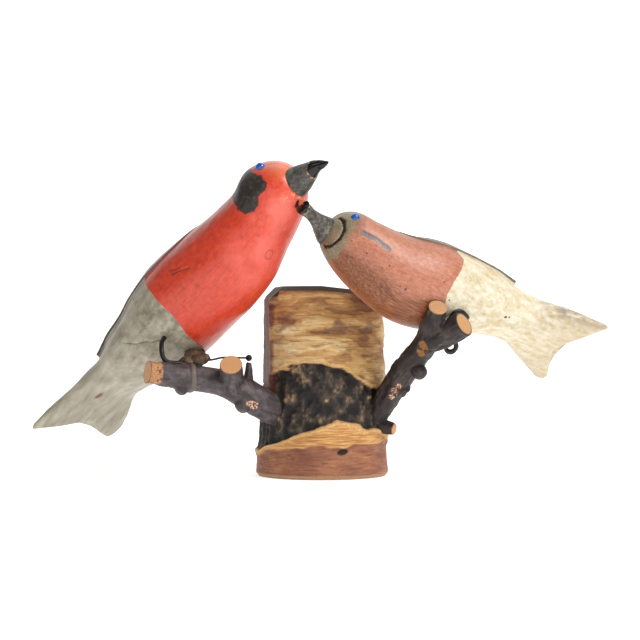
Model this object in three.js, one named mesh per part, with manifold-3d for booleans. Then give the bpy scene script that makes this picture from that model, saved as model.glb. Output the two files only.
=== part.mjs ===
// A pair of carved and painted wooden birds on two cut branches of an upright birch log.
// Millimetres, +Z up. The origin is the middle of the log's flat underside. +X runs towards the
// tail of the smaller, brown bird, and the front of the group looks along -Y.

import * as THREE from 'three';
import { mergeVertices } from 'three/addons/utils/BufferGeometryUtils.js';
import Module from 'manifold-3d';

const wasm = await Module();
wasm.setup();

// Driving dimensions

const clearance = 0.3;

const log = {
  height: 99.8,
  footRadius: 35.5,
  headRadius: 30.8,
  footChamfer: 2.5,
  headChamfer: 3,
  // The head falls towards +X from its middle
  headFall: 3,
  // The upper part was split flat on the left, at this distance from the axis
  splitFace: 29.3,
  splitDirection: 188,
  splitFoot: 48,
  splitChamfer: 6.5,
  // Height and depth of the step where the papery bark was peeled off the crusty bark
  peelTop: 56,
  peelFoot: 21,
  // The peeled band's rims stand this much higher and lower on opposite sides
  peelTilt: 3.6,
  peelDepth: 1.3,
  // The log isn't quite round
  ovalRise: 0.5,
  lobeRise: 0.35,
};

// Each row of a bird is one section, from the face to the tail: distance along the body, height of
// the section's middle, half its width, half its depth, lean of the section in degrees and how
// square it is, where 2 is an ellipse.
const redBird = {
  at: new THREE.Vector3(-12.3, -53.6, 151.4),
  tailSlope: 227.8,
  tailAway: 23.5,
  roll: 42,
  nearSide: 1,
  sections: [
    [-0.4, -2.6, 0.6, 0.6, 27, 2],
    [0.2, -2.1, 5.2, 5.4, 27, 2],
    [2.2, -0.6, 9.5, 10.2, 27, 2],
    [5.4, 1.8, 13.3, 14.2, 24, 2],
    [10.6, 4.0, 16.8, 17.7, 20, 2],
    [19.2, 4.9, 19.6, 20.5, 15, 2],
    [30.2, 1.4, 19.5, 20.4, 10, 2],
    [45.4, -0.6, 22.1, 23.1, 5, 2],
    [65.5, 0.6, 24.6, 25.3, 3, 2],
    [85.7, 3.4, 25.8, 25.7, 1, 2],
    [105.8, 3.2, 25.0, 23.6, 0, 2],
    [121, 2.6, 22.7, 20.2, 0, 2],
    [136.1, 4.4, 20.0, 15.7, 0, 2.1],
    [149.2, 5.4, 17.0, 10.7, 0, 2.2],
    [159.3, 7.1, 16.7, 8.4, 0, 2.4],
    [169.3, 5.8, 19.9, 5.9, 0, 2.7],
    [179.4, 4.8, 24.2, 4.3, 0, 3],
    [188.5, 3.5, 27.0, 2.8, 0, 3],
  ],
  // The tail's end: distance along the body at places from the near prong, 1, to the far lobe, -1
  fork: [
    [-1, 181.4], [-0.96, 187.5], [-0.85, 190.5], [-0.5, 188], [-0.2, 183.5], [0, 182.2], [0.2, 185.5],
    [0.5, 190.5], [0.85, 195.6], [0.96, 197.6], [1, 196.1],
  ],
  forkStart: 167.3,
  farLobeWidth: 0.85,
  wing: { from: 7.4, to: 13.0, shoulderAngle: 30, midAngle: 62, tipAngle: 50, rise: 2.4 },
  eye: { along: 10.6, angle: 54, radius: 2.6 },
  beak: {
    root: [-0.5, 0],
    pitch: 20,
    // Turn and roll towards the near side
    turn: 0,
    roll: 0,
    // Distance along, lift, half width, half depth
    sections: [
      [-7, 0.6, 5.6, 5.6], [-2.5, 0.2, 7.4, 7.4], [0.5, 0, 7.6, 7.7], [7.1, 0.7, 5.6, 5.7],
      [11, 1.4, 4.4, 4.3], [14.1, 1.8, 3.4, 3.3], [17.5, 1, 2.3, 2.4], [19.6, 0.4, 1.6, 1.6],
      [21.4, 0.1, 0.7, 0.7],
    ],
    gape: { depth: 6, opening: 0.5, lift: 0.6 },
  },
};

const brownBird = {
  at: new THREE.Vector3(2.8, -46.5, 127.2),
  tailSlope: -25.4,
  tailAway: 20,
  roll: 42,
  nearSide: -1,
  sections: [
    [-1.6, -2.9, 0.6, 0.6, 10, 2],
    [-1.0, -2.7, 4.6, 4.8, 10, 2],
    [0.6, -2.4, 7.7, 8.1, 10, 2],
    [3, -1.9, 10.2, 10.7, 12, 2],
    [7.9, -1.5, 14.2, 14.8, 14, 2],
    [14.8, -2.2, 17.2, 18.1, 14, 2],
    [24.8, -5.1, 18.8, 19.7, 12, 2],
    [39.6, -7.1, 20.8, 21.4, 6, 2],
    [57.4, -4.3, 23.4, 23.3, 1, 2],
    [75.2, -1.6, 22.1, 21.1, 0, 2],
    [93.1, 2.3, 19.1, 17.3, 0, 2],
    [106.9, 3.9, 15.9, 13.2, 0, 2.1],
    [118.8, 4.4, 15.5, 10.9, 0, 2.3],
    [128.7, 3.7, 19.2, 8.9, 0, 2.6],
    [138.6, 2.3, 24.2, 6.1, 0, 3],
    [148.5, 0.7, 28.3, 3.2, 0, 3],
  ],
  fork: [
    [-1, 151], [-0.96, 154], [-0.85, 153.8], [-0.5, 148.1], [-0.2, 143], [0, 142], [0.2, 144.5],
    [0.5, 148.5], [0.85, 152.5], [0.96, 154.4], [1, 153.4],
  ],
  forkStart: 132.7,
  farLobeWidth: 1.03,
  wing: { from: 6.6, to: 11.0, shoulderAngle: 30, midAngle: 60, tipAngle: 48, rise: 2.3 },
  eye: { along: 9.4, angle: 68, radius: 2.4 },
  beak: {
    root: [0.5, -0.2],
    pitch: 6.4,
    turn: 26,
    roll: 50,
    sections: [
      [-7, 0, 6.2, 6.8], [-2, 0, 6.5, 7.4], [1, 0, 6, 7.1], [4, 0.1, 5.2, 6.1], [10, 0.4, 3.5, 4.1],
      [15.6, 0.2, 2.8, 3], [19.7, 0, 2.7, 3.4], [22.6, 0, 2.5, 3.8], [23.6, 0, 1.8, 3.4],
    ],
    gape: { depth: 4.2, opening: 0.9, lift: 1.3 },
  },
};

// Each row of a limb is a point of its middle line and its radius there.
const leftBranch = {
  limb: [[-88.3, -46.1, 55.8, 6.1], [-80, -42.3, 54.6, 6.2], [-72, -38.4, 53.2, 6.6],
    [-67, -36.2, 52.6, 7.2], [-61, -33.5, 51.8, 6.6], [-51, -29.4, 49.8, 6.9], [-42.5, -26.2, 45.9, 7.6],
    [-34.5, -22.6, 41, 8.2], [-27, -19, 36.6, 8.0], [-20, -14, 32.5, 7.4]],
  stubs: [[[-46, -27.5, 49, 6.4], [-46, -36, 54.6, 5.9], [-46, -43, 59.6, 5.7]]],
  buds: [[[-38, -24.5, 50, 2.6], [-37.6, -25, 56.5, 2.0], [-37.4, -25.2, 60.2, 1.4]]],
  knobs: [[-71.4, -39.3, 47.6, 3.6], [-40.4, -28.6, 38.6, 4.4]],
};

const rightBranch = {
  limb: [
    [21.5, -5, 23, 6.6], [26.8, -10.5, 30, 6.6], [31.8, -15, 38.2, 6.4], [39.2, -23.5, 50.1, 6.6],
    [45.9, -31.4, 60.7, 6.8], [53, -38.3, 69.9, 6.2], [56, -45.1, 79.4, 5.8], [58.3, -54.5, 88.7, 4.7],
  ],
  stubs: [
    [[55.7, -41.3, 72.1, 6.6], [63.5, -46.1, 75.4, 6.5], [71.6, -52, 80.2, 6.3]],
    [[27.5, -11.5, 27.5, 4.2], [33.5, -14.5, 26.2, 3.6], [38.1, -16.6, 25.2, 3.0]],
  ],
  buds: [
    [[38.4, -25.4, 57.1, 3], [39.5, -26.3, 61.5, 1.2]],
  ],
  knobs: [[49.9, -36.4, 55.7, 4], [40.9, -25.7, 45.7, 3.8]],
  // Dead tendrils that stand out of the bark as small rings: middle, turn, radius, thickness
  tendrils: [
    { middle: [65.6, -42.3, 68.9], turn: 20, radius: 2.9, thickness: 1.3 },
    { middle: [43.1, -27.3, 47.1], turn: -20, radius: 2.2, thickness: 1.0 },
  ],
};

const legRadius = 1.25;
const redLeg = [
  [-77, -21.3, 76], [-81.1, -33.6, 72.4], [-81.5, -39.7, 67.6], [-80.4, -41.2, 63],
  [-77.6, -40.6, 60.6], [-72, -38.8, 60], [-67, -36.6, 58.4],
];
const brownLeg = [
  [71.3, -28.7, 87.9], [74.4, -35.8, 83.4], [71.7, -40.2, 86], [68.7, -41.4, 86.6], [66.3, -42, 84.2],
  [63.7, -41.1, 78.4], [61.8, -40.1, 73.5],
];

const wireRadius = 0.5;
const tieWire = [[-60, -27.2, 61.2], [-56, -26.8, 61.8], [-51, -26, 62.8], [-45.5, -25.4, 62.8],
  [-40, -25.2, 62.6], [-37.6, -25.2, 62.6]];
const wireCurlRadius = 1.7;

// The folded wings reach their full width at this part of their length, stand off the back by
// wingStep even at the shoulders, and are rooted this deep in the body.
const wingFull = 0.3;
const wingStep = 0.35;
const wingRoot = 3;

// How far an eye bead's middle lies under the skin
const eyeSunk = 0.7;

// How finely the round shapes are stepped
const facets = {
  birdRings: 30,
  birdAround: 28,
  wingRings: 8,
  wingAround: 8,
  eyeAround: 8,
  logAround: 36,
  limbAround: 12,
  smallAround: 8,
  beakRings: 9,
  beakAround: 12,
  // An arc of a rod's section has twice this many sides
  rodArc: 4,
  knobAround: 8,
  knobRings: 6,
  budRings: 3,
  tendrilAround: 12,
  tendrilSection: 6,
  // How far steps crowd towards the middle of a square section
  crowding: 0.3,
};

// Smooth values of a table at a place between its rows

function between(rows, place) {
  const last = rows.length - 1;
  const index = Math.min(Math.floor(place), last - 1);
  const t = place - index;
  const before = rows[Math.max(index - 1, 0)];
  const after = rows[Math.min(index + 2, last)];
  return rows[index].map((value, i) => {
    const next = rows[index + 1][i];
    const slopeIn = (next - before[i]) / (index > 0 ? 2 : 1);
    const slopeOut = (after[i] - value) / (index + 2 <= last ? 2 : 1);
    const rise = next - value;
    return value + slopeIn * t + (3 * rise - 2 * slopeIn - slopeOut) * t * t
      + (slopeIn + slopeOut - 2 * rise) * t * t * t;
  });
}

function linear(pairs, x) {
  const i = Math.max(1, pairs.findIndex(([place]) => place >= x));
  const [x0, y0] = pairs[i - 1];
  const [x1, y1] = pairs[i];
  return y0 + ((y1 - y0) * (x - x0)) / (x1 - x0);
}

function radians(angle) {
  return THREE.MathUtils.degToRad(angle);
}

function smoothStep(x) {
  return THREE.MathUtils.smoothstep(x, 0, 1);
}

// Closed solids from rings of points

// Each end is closed by strips across it, so that a forked end keeps its notch. They start at the
// ring's point closeFrom.
function loft(rings, closeFrom = 0) {
  const around = rings[0].length;
  const index = [];
  for (let i = 0; i + 1 < rings.length; i += 1) {
    for (let j = 0; j < around; j += 1) {
      const a = i * around + j;
      const b = i * around + ((j + 1) % around);
      index.push(a, b, b + around, a, b + around, a + around);
    }
  }
  const end = (rings.length - 1) * around;
  const closeWith = (...corners) => {
    const [a, b, c] = corners.map((corner) => (corner + closeFrom) % around);
    index.push(a, c, b, end + a, end + b, end + c);
  };
  let low = 0;
  let high = around - 1;
  while (low + 1 < high) {
    closeWith(low, low + 1, high);
    low += 1;
    if (low + 1 < high) {
      closeWith(low, high - 1, high);
      high -= 1;
    }
  }
  const geometry = new THREE.BufferGeometry().setFromPoints(rings.flat());
  geometry.setIndex(index);
  return geometry;
}

function solid(geometry) {
  const bare = geometry.clone();
  bare.deleteAttribute('normal');
  bare.deleteAttribute('uv');
  const merged = mergeVertices(bare, 1e-4);
  const mesh = new wasm.Mesh({
    numProp: 3,
    vertProperties: new Float32Array(merged.attributes.position.array),
    triVerts: new Uint32Array(merged.index.array),
  });
  const body = new wasm.Manifold(mesh);
  return body.volume() < 0 ? solid(turnedInsideOut(merged)) : body;
}

function turnedInsideOut(geometry) {
  const index = Array.from(geometry.index.array);
  for (let i = 0; i < index.length; i += 3) {
    [index[i], index[i + 1]] = [index[i + 1], index[i]];
  }
  geometry.setIndex(index);
  return geometry;
}

function geometryOf(body) {
  const mesh = body.getMesh();
  const geometry = new THREE.BufferGeometry();
  geometry.setAttribute('position', new THREE.BufferAttribute(new Float32Array(mesh.vertProperties), 3));
  geometry.setIndex(new THREE.BufferAttribute(new Uint32Array(mesh.triVerts), 1));
  return geometry;
}

function joined(bodies) {
  return bodies.reduce((all, body) => all.add(body));
}

function cut(body, cutters) {
  return cutters.reduce((left, cutter) => left.subtract(cutter), body);
}

// A round limb along a smooth line, a straight peg being one with two rows

function limb(rows, grow, around, rings = Math.round(rows.length * 1.5)) {
  const curve = new THREE.CatmullRomCurve3(rows.map(([x, y, z]) => new THREE.Vector3(x, y, z)));
  const radii = rows.map((row) => [row[3]]);
  const side = new THREE.Vector3(0.31, 0.47, -0.83);
  const ringPoints = [];
  for (let i = 0; i <= rings; i += 1) {
    const t = i / rings;
    const tangent = curve.getTangent(t);
    const u = new THREE.Vector3().crossVectors(side, tangent).normalize();
    const v = new THREE.Vector3().crossVectors(tangent, u);
    const radius = between(radii, t * (rows.length - 1))[0] + grow;
    const end = i === 0 ? -grow : grow;
    const middle = curve.getPoint(t);
    if (i === 0 || i === rings) {
      middle.addScaledVector(tangent, end);
    }
    ringPoints.push(Array.from({ length: around }, (_, j) => {
      const angle = (2 * Math.PI * j) / around;
      return middle.clone()
        .addScaledVector(u, radius * Math.cos(angle))
        .addScaledVector(v, radius * Math.sin(angle));
    }));
  }
  return solid(loft(ringPoints));
}

function knob([x, y, z, radius], grow) {
  return solid(new THREE.SphereGeometry(radius + grow, facets.knobAround, facets.knobRings).translate(x, y, z));
}

function rod(points, radius) {
  const curve = new THREE.CatmullRomCurve3(points.map((p) => new THREE.Vector3(...p)));
  const section = new THREE.Shape();
  section.absarc(0, 0, radius, 0, 2 * Math.PI);
  const steps = points.length * 2;
  const curveSegments = facets.rodArc;
  const options = { extrudePath: curve, steps, curveSegments, bevelEnabled: false };
  return solid(new THREE.ExtrudeGeometry(section, options));
}

// The birds

function birdFrame({ at, tailSlope, tailAway, roll }) {
  const slope = radians(tailSlope);
  const away = radians(tailAway);
  const turn = radians(roll);
  const flatTail = new THREE.Vector3(Math.cos(slope), 0, Math.sin(slope));
  const up = new THREE.Vector3(-Math.sin(slope), 0, Math.cos(slope));
  up.multiplyScalar(Math.sign(up.z));
  const back = new THREE.Vector3(0, 1, 0);
  const tail = flatTail.clone().multiplyScalar(Math.cos(away)).addScaledVector(back, Math.sin(away));
  const behind = back.clone().multiplyScalar(Math.cos(away)).addScaledVector(flatTail, -Math.sin(away));
  const dorsal = up.multiplyScalar(Math.cos(turn)).addScaledVector(behind, Math.sin(turn));
  const side = new THREE.Vector3().crossVectors(dorsal, tail);
  return new THREE.Matrix4().makeBasis(tail, side, dorsal).setPosition(at);
}

function superEllipse(angle, square) {
  const power = 2 / square;
  const across = Math.sin(angle);
  const over = Math.cos(angle);
  return [Math.sign(across) * Math.abs(across) ** power, Math.sign(over) * Math.abs(over) ** power];
}

// A point of the bird's skin in its own frame, +X to the tail and +Z to the back. The angle runs
// from the middle of the back towards the near side.
function skin(bird, place, angle, grow = 0) {
  const [along, height, halfWidth, halfDepth, leanDegrees, square] = between(bird.sections, place);
  const [across, over] = superEllipse(angle, square);
  const lean = radians(leanDegrees);
  const out = over * (halfDepth + grow);
  const sideways = across * (halfWidth + grow);
  const point = new THREE.Vector3(
    along - out * Math.sin(lean),
    sideways * bird.nearSide,
    height + out * Math.cos(lean),
  );
  const tailEnd = bird.sections[bird.sections.length - 1][0];
  const towardsEnd = smoothStep((along - bird.forkStart) / (tailEnd - bird.forkStart));
  point.y *= across < 0 ? THREE.MathUtils.lerp(1, bird.farLobeWidth, towardsEnd) : 1;
  point.x += towardsEnd * (linear(bird.fork, THREE.MathUtils.clamp(across, -1, 1)) - tailEnd);
  return point;
}

// Where the body is square and flat, the steps crowd towards its middle, where the fork is.
function birdBody(bird, grow = 0) {
  const rings = [];
  const last = bird.sections.length - 1;
  for (let i = 0; i <= facets.birdRings; i += 1) {
    const place = (last * i) / facets.birdRings;
    const crowd = facets.crowding * Math.max(0, between(bird.sections, place)[5] - 2);
    rings.push(Array.from({ length: facets.birdAround }, (_, j) => {
      const angle = (2 * Math.PI * j) / facets.birdAround;
      return skin(bird, place, angle - crowd * Math.sin(2 * angle), grow);
    }));
  }
  return solid(loft(rings, facets.birdAround / 4));
}

// Both folded wings are one raised panel over the back, standing proudest at the tips.
function foldedWings(bird, grow = 0) {
  const { from, to, shoulderAngle, midAngle, tipAngle, rise } = bird.wing;
  const rings = [];
  for (let i = 0; i <= facets.wingRings; i += 1) {
    const t = i / facets.wingRings;
    const place = from + (to - from) * t;
    const spread = radians(t < wingFull
      ? THREE.MathUtils.lerp(shoulderAngle, midAngle, Math.sin((Math.PI / 2) * (t / wingFull)))
      : THREE.MathUtils.lerp(midAngle, tipAngle, (t - wingFull) / (1 - wingFull)));
    const outer = [];
    const inner = [];
    for (let j = 0; j <= facets.wingAround; j += 1) {
      const angle = spread * (1 - (2 * j) / facets.wingAround);
      outer.push(skin(bird, place, angle, rise * t + wingStep + grow));
      inner.unshift(skin(bird, place, angle, -wingRoot));
    }
    rings.push([...outer, ...inner]);
  }
  return solid(loft(rings));
}

function alongPlace(bird, along) {
  const last = bird.sections.length - 1;
  let place = 0;
  while (place < last && between(bird.sections, place)[0] < along) {
    place += 0.02;
  }
  return place;
}

function eyeBead(bird, side, grow = 0) {
  const { along, angle, radius } = bird.eye;
  const spot = skin(bird, alongPlace(bird, along), radians(angle) * side, -eyeSunk);
  const bead = new THREE.SphereGeometry(radius + grow, facets.eyeAround, facets.eyeAround * 0.75);
  return solid(bead.translate(spot.x, spot.y, spot.z));
}

// The way a beak points, its side and its top
function beakAxes(nearSide, pitch, turn, roll) {
  const forward = new THREE.Vector3(
    -Math.cos(pitch) * Math.cos(turn),
    Math.sin(turn) * nearSide,
    -Math.sin(pitch) * Math.cos(turn),
  );
  const level = new THREE.Vector3(-Math.sin(pitch), 0, Math.cos(pitch));
  const near = new THREE.Vector3().crossVectors(level, forward).multiplyScalar(-nearSide);
  const over = level.clone().multiplyScalar(Math.cos(roll)).addScaledVector(near, Math.sin(roll));
  return [forward, new THREE.Vector3().crossVectors(forward, over), over];
}

function beakSolid(bird, grow = 0) {
  const { root, pitch, turn, roll, sections, gape } = bird.beak;
  const [forward, aside, over] = beakAxes(bird.nearSide, radians(pitch), radians(turn), radians(roll));
  const start = new THREE.Vector3(root[0], 0, root[1]);
  const rings = [];
  const { beakRings, beakAround } = facets;
  for (let i = 0; i <= beakRings; i += 1) {
    const row = between(sections, ((sections.length - 1) * i) / beakRings);
    const [distance, lift, halfWidth, halfDepth] = row;
    const end = (i === 0 ? -grow : 0) + (i === beakRings ? grow : 0);
    const middle = start.clone().addScaledVector(forward, distance + end).addScaledVector(over, lift);
    rings.push(Array.from({ length: beakAround }, (_, j) => {
      const angle = (2 * Math.PI * j) / beakAround;
      return middle.clone()
        .addScaledVector(over, (halfDepth + grow) * Math.cos(angle))
        .addScaledVector(aside, (halfWidth + grow) * Math.sin(angle));
    }));
  }
  const whole = solid(loft(rings));
  if (grow > 0) {
    return whole;
  }
  const tip = sections[sections.length - 1][0];
  const mouth = new THREE.Shape([
    new THREE.Vector2(tip - gape.depth, gape.lift),
    new THREE.Vector2(tip + 2, gape.lift - gape.opening),
    new THREE.Vector2(tip + 2, gape.lift + gape.opening),
  ]);
  const wedge = new THREE.ExtrudeGeometry(mouth, { depth: 20, bevelEnabled: false });
  wedge.translate(0, 0, -10);
  wedge.applyMatrix4(new THREE.Matrix4().makeBasis(forward, over, aside).setPosition(start));
  return cut(whole, [solid(wedge)]);
}

function wholeBird(bird, grow = 0) {
  return joined([birdBody(bird, grow), foldedWings(bird, grow)]);
}

// The log and its branches

function logRadius(height, angle) {
  const taper = THREE.MathUtils.lerp(log.footRadius, log.headRadius, (height / log.height) ** 0.8);
  const oval = log.ovalRise * Math.cos(2 * angle + 0.6) + log.lobeRise * Math.cos(3 * angle - 0.8);
  const slope = log.peelTilt * Math.cos(angle - 0.2);
  const crust = height - slope > log.peelFoot && height - slope < log.peelTop ? -log.peelDepth : 0;
  const chamfer = Math.max(0, log.footChamfer - height, log.headChamfer - (log.height - height));
  const round = taper + oval + crust - chamfer;
  const facing = Math.cos(angle - radians(log.splitDirection));
  const isSplit = facing > 0.5 && height > log.splitFoot;
  const splitChamfer = Math.max(0, log.splitChamfer - (log.height - height));
  return isSplit ? Math.min(round, (log.splitFace - splitChamfer) / facing) : round;
}

function logSolid() {
  const heights = [0, log.footChamfer, 10, 17, 21, 25, 36, log.splitFoot, log.splitFoot + 4, 58,
    log.height - log.splitChamfer, log.height - log.headChamfer, log.height];
  const rings = heights.map((height) => Array.from({ length: facets.logAround }, (_, j) => {
    const angle = (2 * Math.PI * j) / facets.logAround;
    const radius = logRadius(height, angle);
    const fall = log.headFall * (height / log.height) * Math.max(0, Math.cos(angle));
    return new THREE.Vector3(radius * Math.cos(angle), radius * Math.sin(angle), height - fall);
  }));
  return solid(loft(rings));
}

function tendril({ middle, turn, radius, thickness }, grow) {
  const ring = new THREE.TorusGeometry(radius, thickness + grow, facets.tendrilSection, facets.tendrilAround);
  ring.rotateX(Math.PI / 2).rotateY(radians(turn)).translate(...middle);
  return solid(ring);
}

function branch(shape, grow = 0) {
  const small = facets.smallAround;
  return joined([
    limb(shape.limb, grow, facets.limbAround),
    ...shape.stubs.map((rows) => limb(rows, grow, small, facets.budRings)),
    ...shape.buds.map((rows) => limb(rows, grow, small, facets.budRings)),
    ...shape.knobs.map((row) => knob(row, grow)),
    ...(shape.tendrils ?? []).map((ring) => tendril(ring, grow)),
  ]);
}

function wireSolid(grow = 0) {
  const [x, y, z] = tieWire[tieWire.length - 1];
  return rod(tieWire, wireRadius + grow).add(knob([x, y, z, wireCurlRadius], grow));
}

// The scene

const colours = {
  bark: { color: '#a98a62', roughness: 0.9 },
  twig: { color: '#4b3c38', roughness: 0.85 },
  redPaint: { color: '#c8452b', roughness: 0.45 },
  brownPaint: { color: '#a8705a', roughness: 0.5 },
  beakPaint: { color: '#4a4740', roughness: 0.5 },
  eyeGlass: { color: '#2f63a8', roughness: 0.1 },
  iron: { color: '#1d1b1a', roughness: 0.5, metalness: 0.6 },
};

const scene = new THREE.Group();

function place(name, body, colour, parent = scene) {
  const material = new THREE.MeshStandardMaterial({ metalness: 0, ...colour });
  const mesh = new THREE.Mesh(geometryOf(body), material);
  mesh.name = name;
  parent.add(mesh);
}

function moved(body, matrix) {
  return solid(geometryOf(body).applyMatrix4(matrix));
}

function birdGroup(name, bird, paint, leg, otherCutters) {
  const frame = birdFrame(bird);
  const toBird = frame.clone().invert();
  const group = new THREE.Group();
  frame.decompose(group.position, group.quaternion, group.scale);
  scene.add(group);
  const inBird = (body) => moved(body, toBird);
  const body = cut(wholeBird(bird), [
    beakSolid(bird, clearance),
    eyeBead(bird, 1, clearance),
    eyeBead(bird, -1, clearance),
    inBird(rod(leg, legRadius + clearance)),
  ]);
  place(name, body, paint, group);
  place(`${name}_beak`, cut(beakSolid(bird), otherCutters.map(inBird)), colours.beakPaint, group);
  place(`${name}_eye_near`, eyeBead(bird, 1), colours.eyeGlass, group);
  place(`${name}_eye_far`, eyeBead(bird, -1), colours.eyeGlass, group);
  return moved(wholeBird(bird, clearance), frame);
}

const redRoom = birdGroup('red_bird', redBird, colours.redPaint, redLeg, []);
const brownRoom = birdGroup('brown_bird', brownBird, colours.brownPaint, brownLeg, [redRoom]);
const redLegRoom = rod(redLeg, legRadius + clearance);
const brownLegRoom = rod(brownLeg, legRadius + clearance);

const logBody = cut(logSolid(), [branch(leftBranch, clearance), branch(rightBranch, clearance), brownRoom]);
place('birch_log', logBody, colours.bark);
place('left_branch', cut(branch(leftBranch), [redRoom, redLegRoom, wireSolid(clearance)]), colours.twig);
place('right_branch', cut(branch(rightBranch), [brownRoom, brownLegRoom]), colours.twig);
place('red_bird_leg', rod(redLeg, legRadius), colours.iron);
place('brown_bird_leg', rod(brownLeg, legRadius), colours.iron);
place('tie_wire', cut(wireSolid(), [redRoom]), colours.iron);

export default scene;
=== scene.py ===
# The carved bird pair: two painted wooden songbirds on cut branches of an upright birch log.
# Tables and lengths are in millimetres, and MM turns them into the frame's metres.

import math

import bpy
import numpy as np
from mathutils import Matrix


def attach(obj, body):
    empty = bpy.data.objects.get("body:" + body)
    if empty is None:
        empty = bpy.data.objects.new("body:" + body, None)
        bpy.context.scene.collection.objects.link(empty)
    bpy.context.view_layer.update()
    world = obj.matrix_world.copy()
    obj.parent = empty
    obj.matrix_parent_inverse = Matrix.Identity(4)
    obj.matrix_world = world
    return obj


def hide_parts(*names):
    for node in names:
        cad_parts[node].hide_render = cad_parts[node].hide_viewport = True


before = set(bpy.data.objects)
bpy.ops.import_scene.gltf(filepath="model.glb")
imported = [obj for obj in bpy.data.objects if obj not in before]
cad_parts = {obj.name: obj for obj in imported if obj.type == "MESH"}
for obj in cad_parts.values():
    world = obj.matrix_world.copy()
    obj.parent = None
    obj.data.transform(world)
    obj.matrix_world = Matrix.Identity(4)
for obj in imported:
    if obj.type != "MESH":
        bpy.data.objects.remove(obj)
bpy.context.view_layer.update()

MM = 0.001


# Numbers

def smooth(x):
    x = np.clip(x, 0.0, 1.0)
    return x * x * (3 - 2 * x)


def between(rows, place):
    """Smooth values of a table at places between its rows."""
    rows = np.asarray(rows, float)
    place = np.asarray(place, float)
    last = len(rows) - 1
    index = np.minimum(np.floor(place).astype(int), last - 1)
    t = (place - index)[..., None]
    value, following = rows[index], rows[index + 1]
    before, after = rows[np.maximum(index - 1, 0)], rows[np.minimum(index + 2, last)]
    slope_in = (following - before) / np.where(index > 0, 2, 1)[..., None]
    slope_out = (after - value) / np.where(index + 2 <= last, 2, 1)[..., None]
    rise = following - value
    bend = (3 * rise - 2 * slope_in - slope_out) * t ** 2 + (slope_in + slope_out - 2 * rise) * t ** 3
    return value + slope_in * t + bend


def linear(pairs, x):
    return np.interp(x, [a for a, _ in pairs], [b for _, b in pairs])


def lattice(cell, seed):
    """Repeatable random numbers from -1 to 1 at whole-number points."""
    n = cell[..., 0] * 374761393 + cell[..., 1] * 668265263 + cell[..., 2] * 1440662683 + seed * 1274126177
    n = (n ^ (n >> 13)) & 0xFFFFFFFF
    n = (n * 1274126177) & 0xFFFFFFFF
    return ((n ^ (n >> 16)) & 0xFFFF) / 32767.5 - 1


def noise(points, size, seed=0, octaves=1):
    """Smooth random height, about -1 to 1, with bumps of the given size along each axis."""
    total = np.zeros(points.shape[:-1])
    for octave in range(octaves):
        q = points / (np.asarray(size, float) / 2 ** octave) + 17.3 * octave
        cell = np.floor(q).astype(np.int64)
        f = q - cell
        f = f ** 3 * (f * (f * 6 - 15) + 10)
        value = 0
        for corner in range(8):
            bits = np.array([corner & 1, corner >> 1 & 1, corner >> 2 & 1])
            weight = np.prod(np.where(bits == 1, f, 1 - f), axis=-1)
            value = value + weight * lattice(cell + bits, seed + octave)
        total += value / 2 ** octave
    return total


def distance_to_path(x, y, path):
    """Distance from points to a line through a few places."""
    nearest = np.full(np.shape(x), 1e3)
    for (ax, ay), (bx, by) in zip(path, path[1:]):
        length = max((bx - ax) ** 2 + (by - ay) ** 2, 1e-9)
        t = np.clip(((x - ax) * (bx - ax) + (y - ay) * (by - ay)) / length, 0, 1)
        nearest = np.minimum(nearest, np.hypot(x - ax - t * (bx - ax), y - ay - t * (by - ay)))
    return nearest


def depth_inside(x, y, outline):
    """Distance to a closed outline, positive inside it."""
    closed = outline + outline[:1]
    inside = np.zeros(np.shape(x), bool)
    for (ax, ay), (bx, by) in zip(closed, closed[1:]):
        crosses = (ay > y) != (by > y)
        where = ax + (y - ay) * (bx - ax) / (by - ay if by != ay else 1e-9)
        inside ^= crosses & (x < where)
    return np.where(inside, 1, -1) * distance_to_path(x, y, closed)


def groove(distance, width, depth):
    return -depth * np.exp(-(distance / width) ** 2)


# Meshes

def grid_faces(rings, around, first=0):
    i, j = np.meshgrid(np.arange(rings - 1), np.arange(around), indexing="ij")
    a = first + i * around + j
    b = first + i * around + (j + 1) % around
    return np.stack([a, b, b + around, a + around], -1).reshape(-1, 4).tolist()


def strip_cap(around, start, first, flip):
    """Closes a ring by strips across it, from its point start, so that a forked end keeps its notch."""
    faces = []
    low, high = 0, around - 1
    at = lambda k: first + (k + start) % around
    while low + 1 < high:
        faces.append((at(low), at(low + 1), at(high)))
        low += 1
        if low + 1 < high:
            faces.append((at(low), at(high - 1), at(high)))
            high -= 1
    return [face[::-1] for face in faces] if flip else faces


def new_piece(name, points, faces, fields=None, sharp=55):
    """A mesh object at the origin, from millimetre points, with float fields on its points."""
    mesh = bpy.data.meshes.new(name)
    mesh.from_pydata((np.reshape(points, (-1, 3)) * MM).tolist(), [], faces)
    for key, values in (fields or {}).items():
        layer = mesh.attributes.new(key, "FLOAT", "POINT")
        layer.data.foreach_set("value", np.ravel(values).astype(np.float32))
    mesh.update()
    mesh.shade_smooth()
    mesh.set_sharp_from_angle(angle=math.radians(sharp))
    piece = bpy.data.objects.new(name, mesh)
    bpy.context.scene.collection.objects.link(piece)
    return piece


def hand_over(piece, slot, material, *nodes):
    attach(piece, "root")
    if nodes:
        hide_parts(*nodes)
    piece.data.materials.append(material)
    return piece


def loft(rings, cap_start=0):
    rings = np.asarray(rings)
    count, around = rings.shape[:2]
    faces = grid_faces(count, around)
    faces += strip_cap(around, cap_start, 0, True)
    faces += strip_cap(around, cap_start, (count - 1) * around, False)
    return rings.reshape(-1, 3), faces


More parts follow.
